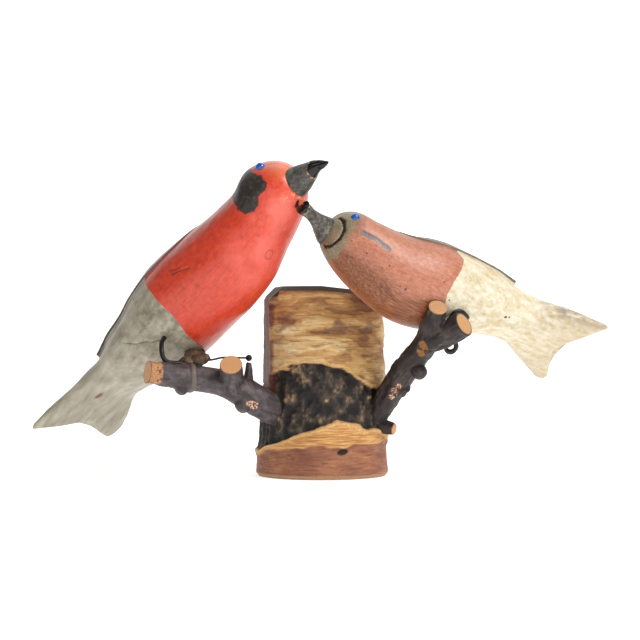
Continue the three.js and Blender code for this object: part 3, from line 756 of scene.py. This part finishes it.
def ring_line(middle, turn, radius, steps=40):
    a = 2 * np.pi * np.arange(steps + 1) / steps
    turn = math.radians(turn)
    x, z = radius * np.cos(a), radius * np.sin(a)
    return np.asarray(middle) + np.stack([x * math.cos(turn), -x * math.sin(turn), z], -1)


def branch_parts(shape):
    parts, lines = [], []
    for rows in [shape["limb"], *shape["stubs"], *shape["buds"]]:
        line, radii = limb_line(rows, 40)
        parts.append(loft(tube(line, radii, 40, round_ends=False)))
        lines.append((line, radii))
    for x, y, z, radius in shape["knobs"]:
        parts.append(ball((x, y, z), radius))
    for middle, turn, radius, thickness in shape.get("tendrils", []):
        ring = tube(ring_line(middle, turn, radius)[:-1], thickness, 16, round_ends=False)
        closed = np.concatenate([ring, ring[:1]])
        parts.append((closed.reshape(-1, 3), grid_faces(len(closed), 16)))
    return parts, lines


def nearest_on_lines(points, lines):
    """For each point: length along the nearest line, angle round it, and distance from its middle."""
    best = np.full(len(points), 1e9)
    length, angle, away, part = (np.zeros(len(points)) for _ in range(4))
    for number, (line, _) in enumerate(lines):
        run = np.concatenate([[0], np.cumsum(np.linalg.norm(np.diff(line, axis=0), axis=1))])
        tangent = np.gradient(line, axis=0)
        tangent /= np.linalg.norm(tangent, axis=1, keepdims=True)
        for k, (spot, along) in enumerate(zip(line, tangent)):
            offset = points - spot
            distance = np.linalg.norm(offset, axis=1)
            closer = distance < best
            u = np.cross([0.31, 0.47, -0.83], along)
            u /= np.linalg.norm(u)
            v = np.cross(along, u)
            flat = np.stack([offset @ u, offset @ v], -1)
            best = np.where(closer, distance, best)
            length = np.where(closer, run[k] + offset @ along, length)
            angle = np.where(closer, np.arctan2(flat[:, 1], flat[:, 0]), angle)
            away = np.where(closer, np.linalg.norm(flat, axis=1), away)
            part = np.where(closer, number, part)
    return length, angle, away, part


def end_depth(points, line, radii, end):
    """How far points lie behind a limb's cut end, small on the cut itself, and distance from its middle."""
    tip = line[-1] if end else line[0]
    out = line[-1] - line[-2] if end else line[0] - line[1]
    out = out / np.linalg.norm(out)
    offset = points - tip
    depth = -(offset @ out)
    away = np.linalg.norm(offset + depth[:, None] * out, axis=1)
    near = away < (radii[-1] if end else radii[0]) * 1.35
    return np.where(near, depth, 50.0), away


def branch_mesh(shape, cuts, bark):
    """Points, faces and fields of a branch. cuts lists the limbs and ends that were sawn off."""
    parts, lines = branch_parts(shape)
    points, normals, faces = fused(parts, 0.36)
    length, angle, away, part = nearest_on_lines(points, lines)
    cut, rings = np.full(len(points), 50.0), np.zeros(len(points))
    for number, end in cuts:
        depth, middle = end_depth(points, *lines[number], end)
        closer = depth < cut
        cut = np.where(closer, depth, cut)
        rings = np.where(closer, middle, rings)
    around = np.stack([np.cos(angle) * 6, np.sin(angle) * 6, length], -1) + part[:, None] * 31
    wrinkle = noise(around, (1.7, 1.7, 9), 41, 2)
    lumps = noise(points, (5, 5, 5), 42, 2)
    on_bark = smooth((cut - 0.4) / 0.5)
    relief = on_bark * (bark["wrinkle"] * wrinkle + bark["lump"] * lumps) + (1 - on_bark) * 0.05 * lumps
    extra, fields = bark["marks"](points, length, angle, part)
    points = points + normals * (relief + extra)[:, None]
    fields.update({"cut": cut, "rings": rings, "wrinkle": wrinkle, "length": length})
    return points, faces, fields


def ball_field(points, spots):
    """Depth inside the nearest of several balls, each a point and a radius."""
    depth = np.full(len(points), -50.0)
    for x, y, z, radius in spots:
        depth = np.maximum(depth, radius - np.linalg.norm(points - np.array([x, y, z]), axis=1))
    return depth


def left_marks(points, length, angle, part):
    main = part == 0
    stripped = np.where(main, 6.4 + 0.5 * noise(points, (3, 3, 3), 51, 2) - length, -50)
    node = np.where(main, np.abs(length - 23.6 - 0.6 * np.sin(angle * 2)), 50)
    scar = np.where(main, np.abs(length - 12.5 - 3.2 * (angle - 1.0) ** 2), 50)
    torn = ball_field(points, [(-34.6, -31.0, 38.2, 2.6), (-37.0, -31.5, 39.4, 1.8)])
    relief = -0.35 * smooth(stripped / 0.5) + 0.5 * np.exp(-(node / 1.1) ** 2) - 0.5 * smooth(torn / 1.5)
    relief += groove(np.abs(node - 1.8), 0.5, 0.35) + groove(scar, 0.6, 0.3) * (length < 22)
    return relief, {"stripped": stripped, "torn": torn, "amber": torn * 0 - 50, "node": node}


def right_marks(points, length, angle, part):
    torn = ball_field(points, [(37.4, -28.4, 45.4, 2.4), (35.9, -26.2, 42.0, 1.8), (39.5, -30.2, 48.0, 1.6),
                               (60.3, -47.6, 70.7, 1.8)])
    amber = ball_field(points, [(53.4, -44.2, 74.0, 2.8), (52.4, -43.1, 70.0, 3.0), (50.6, -40.6, 66.0, 2.6),
                                (53.9, -47.2, 78.0, 2.0)])
    rough = 1.4 * noise(points, (2, 2, 2), 53, 2)
    relief = -0.45 * smooth((torn + rough) / 1.5) - 0.4 * smooth((amber + 0.5 * rough) / 0.8)
    return relief, {"stripped": torn * 0 - 50, "torn": torn, "amber": amber, "node": torn * 0 + 50}


# Iron

RED_LEG = [[-77, -21.3, 76], [-81.1, -33.6, 72.4], [-81.5, -39.7, 67.6], [-80.4, -41.2, 63],
           [-77.6, -40.6, 60.6], [-72, -38.8, 60], [-67, -36.6, 58.4]]
BROWN_LEG = [[71.3, -28.7, 87.9], [74.4, -35.8, 83.4], [71.7, -40.2, 86], [68.7, -41.4, 86.6],
             [66.3, -42, 84.2], [63.7, -41.1, 78.4], [61.8, -40.1, 73.5]]
LEG_RADIUS = 1.25
TIE_WIRE = [[-60, -27.2, 61.2], [-56, -26.8, 61.8], [-51, -26, 62.8], [-45.5, -25.4, 62.8],
            [-40, -25.2, 62.6], [-37.6, -25.2, 62.6]]
WIRE_RADIUS = 0.5
WIRE_CURL_RADIUS = 1.7


def rod(points, radius, around=20, uneven=0.0):
    line = between(points, np.linspace(0, len(points) - 1, 70))
    rings = tube(line, radius, around)
    if uneven:
        middle = rings.mean(1, keepdims=True)
        rings = middle + (rings - middle) * (1 + uneven * noise(rings, (2.2, 2.2, 2.2), 61, 2))[..., None]
    return loft(rings)


# Lumps of glue and fibre round the feet

def lump(parts, voxel, height, size, seed):
    points, normals, faces = fused(parts, voxel)
    relief = height * noise(points, (size,) * 3, seed, 3)
    return points + normals * relief[:, None], faces, {"relief": relief}


# Materials

def euler_of(bird):
    """The turn that takes the frame's axes to the bird's, as three angles."""
    from mathutils import Matrix
    return tuple(Matrix(bird_axes(bird).tolist()).to_euler())


def red_paint():
    s = Surface("red_bird_paint", euler_of(RED_BIRD))
    grain = s.noise((9, 0.8, 0.8), 5)
    mottle = s.noise(2.6, 6, 0.65)
    fine = s.noise(0.6, 3, 0.7)
    broad = s.noise(16, 3)
    turn, along = s.field("turn"), s.field("along")
    red = s.ramp(s.plus(s.times(mottle, 0.6), s.times(grain, 0.4)),
                 (0.30, "a82c17"), (0.46, "cf3c22"), (0.60, "dd4a2d"), (0.75, "e86344"))
    towards_back = s.band(s.plus(turn, s.times(broad, 0.16)), 0.60, 0.36)
    red = s.mix(s.times(towards_back, 0.75), red, s.ramp(mottle, (0.35, "7d2c1a"), (0.65, "a5402a")))
    # Painted highlight: a pale pink patch on the breast stands in for the light's sheen on the paint
    painted_breast_highlight = s.times(s.band(turn, 0.5, 0.8), s.band(along, 85.0, 20.0))
    red = s.mix(s.times(painted_breast_highlight, s.band(broad, 0.35, 0.75)), red, "e9685a")
    forehead = s.times(s.band(along, 9.0, -2.0), s.band(turn, 0.62, 0.35))
    red = s.mix(s.times(forehead, 0.8), red, "e3754a")
    throat = s.times(s.band(along, 14.0, 2.0), s.band(turn, 0.66, 0.82))
    worn = s.band(s.noise((3, 2, 2), 4, 0.7), 0.5, 0.62)
    red = s.mix(s.times(throat, worn), red, "e6a45f")
    specks = s.band(s.cells(1.9), 0.10, 0.03)
    red = s.mix(s.times(specks, 0.5), red, "5c1e12")
    bare = s.ramp(s.plus(s.times(s.noise((12, 3, 3), 4), 0.6), s.times(mottle, 0.4)),
                  (0.32, "6f6852"), (0.45, "9a917c"), (0.58, "ada592"), (0.72, "c4bdab"))
    tailward = s.band(along, 120.0, 150.0)
    bare = s.mix(s.times(tailward, 0.55), bare, s.ramp(s.noise((16, 5, 5), 3), (0.35, "8f8a78"), (0.55, "b3ad9c"),
                                                      (0.7, "cfc8b8")))
    dirty = s.times(s.band(s.noise(7, 4, 0.6), 0.48, 0.66), s.band(along, 150.0, 100.0))
    bare = s.mix(s.times(dirty, 0.6), bare, "5f5842")
    rim = s.band(s.plus(turn, s.times(broad, 0.08)), 0.38, 0.26)
    bare = s.mix(s.times(rim, 0.9), bare, "43301f")
    bare = s.mix(s.times(s.band(s.field("knot"), 1.15, 0.4), 0.9), bare, "6b452a")
    edge = s.plus(s.field("border"), s.times(s.plus(fine, -0.5), 0.8))
    bare_side = s.band(edge, -0.12, 0.12)
    tint = s.mix(bare_side, red, bare)
    nape = s.band(s.plus(s.field("nape"), s.times(s.plus(mottle, -0.5), 5.0)), -0.4, 0.5)
    black = s.ramp(s.plus(s.times(mottle, 0.7), s.times(fine, 0.3)), (0.38, "1c1713"), (0.52, "2f261f"), (0.66, "56483a"))
    tint = s.mix(nape, tint, black)
    wing = s.band(s.plus(s.field("wing"), s.times(s.plus(mottle, -0.5), 0.3)), 0.4, 0.6)
    tint = s.mix(wing, tint, s.ramp(grain, (0.35, "181210"), (0.6, "30231c"), (0.75, "4a382b")))
    # Painted shadow: near-black in the throat's dent under the brown bird's beak tip
    wound = s.band(s.plus(s.field("wound"), s.times(s.plus(fine, -0.5), 1.6)), -0.4, 0.5)
    tint = s.mix(wound, tint, "2b140c")
    # Dark lines: the scratches, and a painted shadow along the crease under the belly
    crack = s.band(s.plus(s.field("crack"), s.times(mottle, 0.5)), 0.75, 0.35)
    tint = s.mix(s.times(crack, 0.75), tint, "3a2218")
    ring = s.band(s.math("ABSOLUTE", s.plus(s.field("ring"), -1.0)), 0.35, 0.1)
    tint = s.mix(s.times(ring, 0.5), tint, "7a2114")
    rough = s.plus(s.times(mottle, 0.16), s.plus(0.26, s.times(bare_side, 0.14)))
    rough = s.plus(rough, s.times(nape, 0.12))
    normal = s.bump(grain, 0.10, 0.5)
    normal = s.bump(fine, 0.05, 0.6, normal)
    normal = s.bump(mottle, 0.18, 0.5, normal)
    return s.finish(tint, rough, normal, Coat_Weight=0.25, Coat_Roughness=0.28)


def brown_paint():
    s = Surface("brown_bird_paint", euler_of(BROWN_BIRD))
    grain = s.noise((7, 0.7, 0.7), 5)
    mottle = s.noise(2.2, 6, 0.65)
    fine = s.noise(0.55, 3, 0.7)
    broad = s.noise(15, 3)
    turn, along = s.field("turn"), s.field("along")
    brown = s.ramp(s.plus(s.times(mottle, 0.55), s.times(grain, 0.45)),
                   (0.30, "8f5238"), (0.46, "b06e54"), (0.60, "bf8068"), (0.76, "d39f88"))
    belly = s.band(s.plus(turn, s.times(broad, 0.14)), 0.82, 0.98)
    chestnut = s.ramp(grain, (0.34, "4c2611"), (0.5, "7d4320"), (0.62, "a3612f"), (0.78, "bd8048"))
    brown = s.mix(s.times(belly, 0.9), brown, chestnut)
    above = s.band(s.plus(turn, s.times(broad, 0.2)), 0.52, 0.34)
    brown = s.mix(s.times(above, 0.85), brown, s.ramp(mottle, (0.35, "6c5038"), (0.65, "96714f")))
    head = s.band(s.plus(along, s.times(broad, 8.0)), 18.0, 8.0)
    head = s.times(head, s.band(turn, 0.72, 0.45))
    brown = s.mix(s.times(head, 0.9), brown, s.ramp(mottle, (0.35, "4f4231"), (0.55, "74614a"), (0.72, "93795c")))
    specks = s.band(s.cells(1.5), 0.12, 0.04)
    brown = s.mix(s.times(specks, 0.6), brown, "3a1e12")
    bare = s.ramp(s.plus(s.times(s.noise((10, 3, 3), 4), 0.55), s.times(mottle, 0.45)),
                  (0.30, "a8966f"), (0.44, "cbbf9f"), (0.56, "dcd3be"), (0.70, "e9e4d6"))
    stain = s.band(s.noise((9, 5, 5), 3), 0.5, 0.68)
    bare = s.mix(s.times(stain, 0.55), bare, "c2a56f")
    smudge = s.times(s.band(along, 118.0, 134.0), s.band(turn, 0.72, 0.5))
    bare = s.mix(s.times(smudge, s.times(s.band(s.noise((8, 3, 3), 4), 0.35, 0.6), 0.8)), bare, "77706a")
    # Darker towards the tail's end: partly the tail's own tone and partly painted shade
    bare = s.mix(s.times(s.band(along, 118.0, 150.0), 0.35), bare, "a58f6c")
    edge = s.plus(s.field("border"), s.times(s.plus(fine, -0.5), 1.0))
    bare_side = s.band(edge, -0.12, 0.12)
    tint = s.mix(bare_side, brown, bare)
    wing = s.band(s.plus(s.field("wing"), s.times(s.plus(mottle, -0.5), 0.3)), 0.4, 0.6)
    tint = s.mix(wing, tint, s.ramp(grain, (0.35, "4b463d"), (0.55, "6d665a"), (0.75, "8d8474")))
    filler = s.band(s.plus(s.field("filler"), s.times(s.plus(mottle, -0.5), 6.0)), -0.2, 0.8)
    tint = s.mix(s.times(filler, 0.85), tint, s.ramp(fine, (0.3, "4d4633"), (0.5, "7f765a"), (0.7, "a79d7f")))
    ear = s.band(s.plus(s.field("ear"), s.times(s.plus(mottle, -0.5), 2.4)), 1.9, 1.1)
    tint = s.mix(s.times(ear, 0.85), tint, s.ramp(fine, (0.35, "3f4146"), (0.65, "6d7075")))
    crack = s.band(s.plus(s.field("crack"), s.times(s.plus(mottle, -0.5), 0.9)), 0.9, 0.4)
    tint = s.mix(crack, tint, "1d130b")
    pit = s.band(s.plus(s.field("pit"), s.times(s.plus(fine, -0.5), 0.5)), -0.25, 0.15)
    tint = s.mix(s.times(pit, 0.9), tint, "2a150d")
    rough = s.plus(s.times(mottle, 0.2), s.plus(0.34, s.times(bare_side, 0.1)))
    normal = s.bump(grain, 0.16, 0.6)
    normal = s.bump(fine, 0.06, 0.6, normal)
    normal = s.bump(mottle, 0.25, 0.6, normal)
    return s.finish(tint, rough, normal, Coat_Weight=0.12, Coat_Roughness=0.35)


def beak_paint(name, pale):
    s = Surface(name)
    mottle = s.noise(2.4, 5, 0.65)
    fine = s.noise(0.5, 3, 0.7)
    tint = s.ramp(mottle, (0.34, "2c2a27"), (0.5, "4b4843"), (0.64, pale), (0.8, "8a857a"))
    chip = s.plus(s.field("chip"), s.times(s.plus(fine, -0.5), 0.7))
    tip = s.band(chip, -0.1, 0.2)
    tint = s.mix(tip, tint, "060505")
    chipped = s.times(s.band(s.math("ABSOLUTE", chip), 0.45, 0.15), s.band(mottle, 0.44, 0.56))
    tint = s.mix(chipped, tint, "b98f62")
    tint = s.mix(s.band(s.field("gape"), 0.35, 0.7), tint, "0c0908")
    rough = s.plus(s.times(mottle, 0.25), s.plus(0.34, s.times(tip, -0.24)))
    normal = s.bump(mottle, 0.25, 0.7)
    normal = s.bump(fine, 0.06, 0.5, normal)
    return s.finish(tint, rough, normal)


def eye_glass():
    s = Surface("cobalt_bead")
    cloud = s.noise(1.6, 3)
    tint = s.ramp(cloud, (0.3, "123a86"), (0.55, "1d55ad"), (0.75, "2f6cc4"))
    rough = s.plus(0.06, s.times(cloud, 0.08))
    return s.finish(tint, rough, s.bump(s.noise(0.7, 2), 0.02, 0.3), Coat_Weight=0.6, Coat_Roughness=0.05)


def birch_bark():
    s = Surface("birch_bark")
    layer = s.field("layer")
    streak = s.noise((9, 9, 0.7), 5, 0.65)
    patch = s.noise((14, 14, 5), 4, 0.6)
    fine = s.noise(0.7, 4, 0.7)
    lenticel = s.band(s.noise((3.2, 3.2, 0.35), 2), 0.66, 0.72)
    paper = s.ramp(s.plus(s.times(layer, 0.55), s.times(patch, 0.6)),
                   (0.30, "8a5f3a"), (0.44, "b98a52"), (0.56, "cfa76b"), (0.68, "dfc48f"), (0.85, "eadbb4"))
    paper = s.mix(s.times(s.band(streak, 0.52, 0.66), 0.7), paper, "8b5a37")
    paper = s.mix(s.times(s.band(s.noise((16, 16, 8), 3), 0.56, 0.68), 0.6), paper, "5f463c")
    paper = s.mix(s.times(lenticel, 0.8), paper, "4a2c1d")
    paper = s.mix(s.times(s.band(fine, 0.62, 0.75), 0.5), paper, "f0e3c2")
    gold = s.ramp(streak, (0.3, "94602f"), (0.48, "c08a4e"), (0.6, "d6a768"), (0.75, "ebcf97"))
    crumb = s.field("crumb")
    crust = s.ramp(s.plus(s.times(crumb, 0.42), s.times(s.plus(fine, -0.2), 0.5)),
                   (0.10, "0f0c0a"), (0.30, "2b231d"), (0.50, "554536"), (0.68, "8f7654"), (0.86, "cdb98c"))
    inner = s.ramp(s.plus(s.times(streak, 0.5), s.times(patch, 0.5)),
                   (0.34, "6a3d2b"), (0.48, "8a5740"), (0.6, "a8704c"), (0.74, "c78c5c"))
    scribble = s.times(s.band(s.noise((4, 4, 0.8), 4, 0.7), 0.58, 0.64), s.band(patch, 0.44, 0.58))
    inner = s.mix(s.times(scribble, 0.75), inner, "38211a")
    tint = s.mix(s.field("paper"), inner, paper)
    tint = s.mix(s.field("gold"), tint, gold)
    tint = s.mix(s.field("crust"), tint, crust)
    # Pale along the torn lips: partly the torn edges' own paler colour and partly a painted highlight on the ledges'
    # tops
    lip = s.times(s.band(s.plus(s.field("lip"), s.times(s.plus(streak, -0.5), 1.2)), 0.45, 0.75), 0.8)
    tint = s.mix(lip, tint, s.ramp(fine, (0.35, "b8853f"), (0.55, "dcb57a"), (0.75, "f0e0bd")))
    # Painted shadow: near-black in the chipped hole
    chip = s.band(s.field("chip"), 0.1, 0.5)
    tint = s.mix(chip, tint, "22130d")
    split = s.band(s.field("split"), -0.6, 0.1)
    face = s.ramp(s.noise((1.4, 1.4, 24), 4), (0.34, "1f110c"), (0.5, "3f2117"), (0.66, "6b3a26"))
    tint = s.mix(split, tint, face)
    rim = s.times(s.band(s.field("split"), -3.8, -1.6), s.band(patch, 0.38, 0.46))
    tint = s.mix(s.times(rim, 0.8), tint, "6a3a2b")
    end = s.band(s.field("chamfer"), 0.15, 0.7)
    end_tint = s.mix(s.band(s.field("headward"), 0.4, 0.6), s.ramp(fine, (0.3, "8a664a"), (0.7, "b48f6c")),
                     s.ramp(fine, (0.3, "2c231a"), (0.7, "5a4a37")))
    tint = s.mix(end, tint, end_tint)
    rough = s.plus(0.5, s.times(fine, 0.3))
    normal = s.bump(streak, 0.35, 0.7)
    normal = s.bump(fine, 0.25, 0.6, normal)
    return s.finish(tint, rough, normal)


def twig_bark(name, dark, middle, sheen, cut_light):
    s = Surface(name)
    fine = s.noise(0.6, 4, 0.7)
    patch = s.noise(6, 4, 0.6)
    wrinkle = s.field("wrinkle")
    tint = s.ramp(s.plus(s.times(patch, 0.7), s.times(fine, 0.3)), (0.34, dark), (0.52, middle), (0.7, sheen))
    tint = s.mix(s.times(s.band(wrinkle, -0.05, -0.5), 0.7), tint, dark)
    tint = s.mix(s.times(s.band(s.math("ABSOLUTE", s.plus(s.field("node"), -0.6)), 1.0, 0.2), 0.35), tint, "8d8070")
    wood = s.ramp(fine, (0.3, "8a5a38"), (0.55, "bb8558"), (0.75, cut_light))
    stripped = s.band(s.plus(s.field("stripped"), s.times(s.plus(fine, -0.5), 1.2)), -0.2, 0.2)
    tint = s.mix(stripped, tint, s.mix(s.band(s.noise(1.6, 3), 0.56, 0.62), wood, "4a3326"))
    amber = s.band(s.plus(s.field("amber"), s.times(s.plus(patch, -0.5), 2.6)), -0.2, 0.3)
    tint = s.mix(amber, tint, s.ramp(fine, (0.3, "4d2c10"), (0.5, "8f5a1f"), (0.72, "c08a3e")))
    torn = s.band(s.plus(s.field("torn"), s.times(s.plus(s.noise(1.5, 3), -0.5), 3.0)), -0.1, 0.3)
    tint = s.mix(torn, tint, s.ramp(s.noise(0.9, 2), (0.36, "3c1d14"), (0.5, "a2664c"), (0.64, "e8d6c2")))
    rings = s.math("SINE", s.times(s.plus(s.field("rings"), s.times(fine, 0.35)), 7.5))
    face = s.mix(s.band(rings, -0.6, 0.9), wood, cut_light)
    face = s.mix(s.band(s.field("rings"), 5.0, 6.2), face, dark)
    on_cut = s.band(s.plus(s.field("cut"), s.times(s.plus(fine, -0.5), 0.3)), 0.65, 0.35)
    tint = s.mix(on_cut, tint, face)
    rough = s.plus(0.42, s.times(fine, 0.3))
    normal = s.bump(fine, 0.2, 0.6)
    normal = s.bump(patch, 0.3, 0.5, normal)
    return s.finish(tint, rough, normal)


def black_iron():
    s = Surface("black_iron")
    fine = s.noise(0.5, 3)
    rust = s.band(s.noise(2.5, 4, 0.7), 0.6, 0.7)
    tint = s.mix(s.times(rust, 0.5), s.ramp(fine, (0.3, "0b0a09"), (0.7, "1f1c1a")), "3a2418")
    return s.finish(tint, s.plus(0.24, s.times(fine, 0.25)), s.bump(fine, 0.06, 0.6), Metallic=0.35)


def glue():
    s = Surface("old_glue")
    fine = s.noise(0.7, 4, 0.7)
    patch = s.noise(3, 4)
    tint = s.ramp(s.plus(s.times(fine, 0.5), s.times(patch, 0.5)), (0.32, "2c211a"), (0.5, "4f3e2f"), (0.62, "7d6042"),
                  (0.74, "b98c58"))
    return s.finish(tint, s.plus(0.4, s.times(fine, 0.3)), s.bump(fine, 0.3, 0.7))


def pale_floor():
    s = Surface("studio_floor")
    tint = s.ramp(s.noise(90, 3), (0.3, "f1f0ee"), (0.7, "f6f5f3"))
    return s.finish(tint, s.plus(0.7, s.times(s.noise(40, 2), 0.1)), Emission_Color=(1, 1, 1, 1), Emission_Strength=0.5)


# Building

def build_birds(red, brown, beak_red, beak_brown, eye):
    for bird, marks, node, material, slot in (
        (RED_BIRD, red_marks, "red_bird", red, "red_paint"),
        (BROWN_BIRD, brown_marks, "brown_bird", brown, "brown_paint"),
    ):
        points, faces, fields = bird_mesh(bird, marks)
        hand_over(new_piece(node + "_carving", points, faces, fields), slot, material, node)
        for side, end in ((1, "near"), (-1, "far")):
            bead = new_piece(f"{node}_bead_{end}", *eye_bead(bird, side))
            hand_over(bead, "blue_bead", eye, f"{node}_eye_{end}")
    for bird, beak, shape, node, material in (
        (RED_BIRD, RED_BEAK, red_beak_shape, "red_bird", beak_red),
        (BROWN_BIRD, BROWN_BEAK, brown_beak_shape, "brown_bird", beak_brown),
    ):
        piece = new_piece(node + "_bill", *beak_mesh(bird, beak, shape))
        hand_over(piece, "dark_beak", material, node + "_beak")


def build_wood(bark, left, right):
    hand_over(new_piece("birch_log_bark", *log_mesh()), "birch_bark", bark, "birch_log")
    left_bark = {"wrinkle": 0.16, "lump": 0.22, "marks": left_marks}
    right_bark = {"wrinkle": 0.34, "lump": 0.38, "marks": right_marks}
    left_cuts = [(0, False), (1, True)]
    right_cuts = [(0, True), (1, True), (2, True)]
    hand_over(new_piece("left_twig", *branch_mesh(LEFT_BRANCH, left_cuts, left_bark)), "twig_bark", left, "left_branch")
    hand_over(new_piece("right_twig", *branch_mesh(RIGHT_BRANCH, right_cuts, right_bark)), "twig_bark", right,
              "right_branch")


def build_iron(iron, glued):
    hand_over(new_piece("red_bird_hook", *rod(RED_LEG, LEG_RADIUS, uneven=0.07)), "black_iron", iron, "red_bird_leg")
    hand_over(new_piece("brown_bird_hook", *rod(BROWN_LEG, LEG_RADIUS, uneven=0.07)), "black_iron", iron,
              "brown_bird_leg")
    wire = merged([rod(TIE_WIRE, WIRE_RADIUS, 12), ball(TIE_WIRE[-1], WIRE_CURL_RADIUS)])
    hand_over(new_piece("tie_wire_and_knot", *wire), "black_iron", iron, "tie_wire")
    foot = [ball((-69, -34, 60.8), (4.6, 3.4, 2.6)), ball((-63, -33.6, 61.4), (4.4, 3.6, 3.4)),
            ball((-60, -31.6, 62.6), (3.2, 3.0, 3.0)), ball((-66, -31.4, 63.4), (5.0, 3.2, 3.0)),
            ball((-66, -26, 64), (5.0, 5.4, 3.0)), ball((-65, -19, 65), (4.6, 5.4, 3.0))]
    hand_over(new_piece("red_bird_foot_glue", *lump(foot, 0.45, 0.6, 2.4, 71)), "twig_bark", glued)


def build_stage(floor_material):
    """A pale floor that curves up into a backdrop."""
    half, depth, height, radius = 2.4, 1.5, 2.4, 0.6
    turn = np.linspace(0, np.pi / 2, 24)
    profile = [(-3.0, 0.0)] + [(depth - radius + radius * math.sin(t), radius - radius * math.cos(t)) for t in turn]
    profile.append((depth, height))
    points = [(x, y, z) for y, z in profile for x in (-half, half)]
    faces = [(2 * k, 2 * k + 1, 2 * k + 3, 2 * k + 2) for k in range(len(profile) - 1)]
    floor = new_piece("studio_floor", np.array(points) / MM, faces)
    floor.data.materials.append(floor_material)


def build_camera():
    data = bpy.data.cameras.new("camera")
    data.lens = 105
    data.sensor_width = 36
    camera = bpy.data.objects.new("camera", data)
    camera.location = (-0.0008, -0.990, 0.0822)
    camera.rotation_euler = (math.radians(90), 0, 0)
    bpy.context.scene.collection.objects.link(camera)
    bpy.context.scene.camera = camera


def area_light(name, place, target, width, height, power, tint):
    from mathutils import Vector
    data = bpy.data.lights.new(name, "AREA")
    data.shape = "RECTANGLE"
    data.size, data.size_y = width, height
    data.energy = power
    data.color = tint
    lamp = bpy.data.objects.new(name, data)
    lamp.location = place
    lamp.rotation_euler = (Vector(target) - Vector(place)).to_track_quat("-Z", "Y").to_euler()
    bpy.context.scene.collection.objects.link(lamp)


def build_lights():
    middle = (0.0, 0.0, 0.09)
    area_light("key", (0.6, -0.5, 0.85), middle, 0.5, 0.5, 10.5, (1.0, 0.98, 0.95))
    area_light("fill", (-0.3, -1.3, 0.5), middle, 0.9, 0.9, 1.8, (0.97, 0.98, 1.0))
    area_light("backdrop_light", (0.0, 0.5, 1.6), (0.0, 1.4, 0.6), 1.6, 0.4, 12.0, (1.0, 1.0, 1.0))
    world = bpy.data.worlds.new("studio")
    world.use_nodes = True
    world.node_tree.nodes["Background"].inputs["Color"].default_value = (1.0, 1.0, 1.0, 1.0)
    world.node_tree.nodes["Background"].inputs["Strength"].default_value = 0.2
    bpy.context.scene.world = world
    bpy.context.scene.view_settings.view_transform = "Standard"


build_camera()
build_lights()
build_stage(pale_floor())
build_birds(red_paint(), brown_paint(), beak_paint("red_bird_beak_paint", "66625a"),
            beak_paint("brown_bird_beak_paint", "7c7467"), eye_glass())
build_wood(birch_bark(),
           twig_bark("left_twig_bark", "2b2322", "4f4648", "76717c", "d8a873"),
           twig_bark("right_twig_bark", "141011", "2f2523", "5c4f49", "c79c6c"))
build_iron(black_iron(), glue())
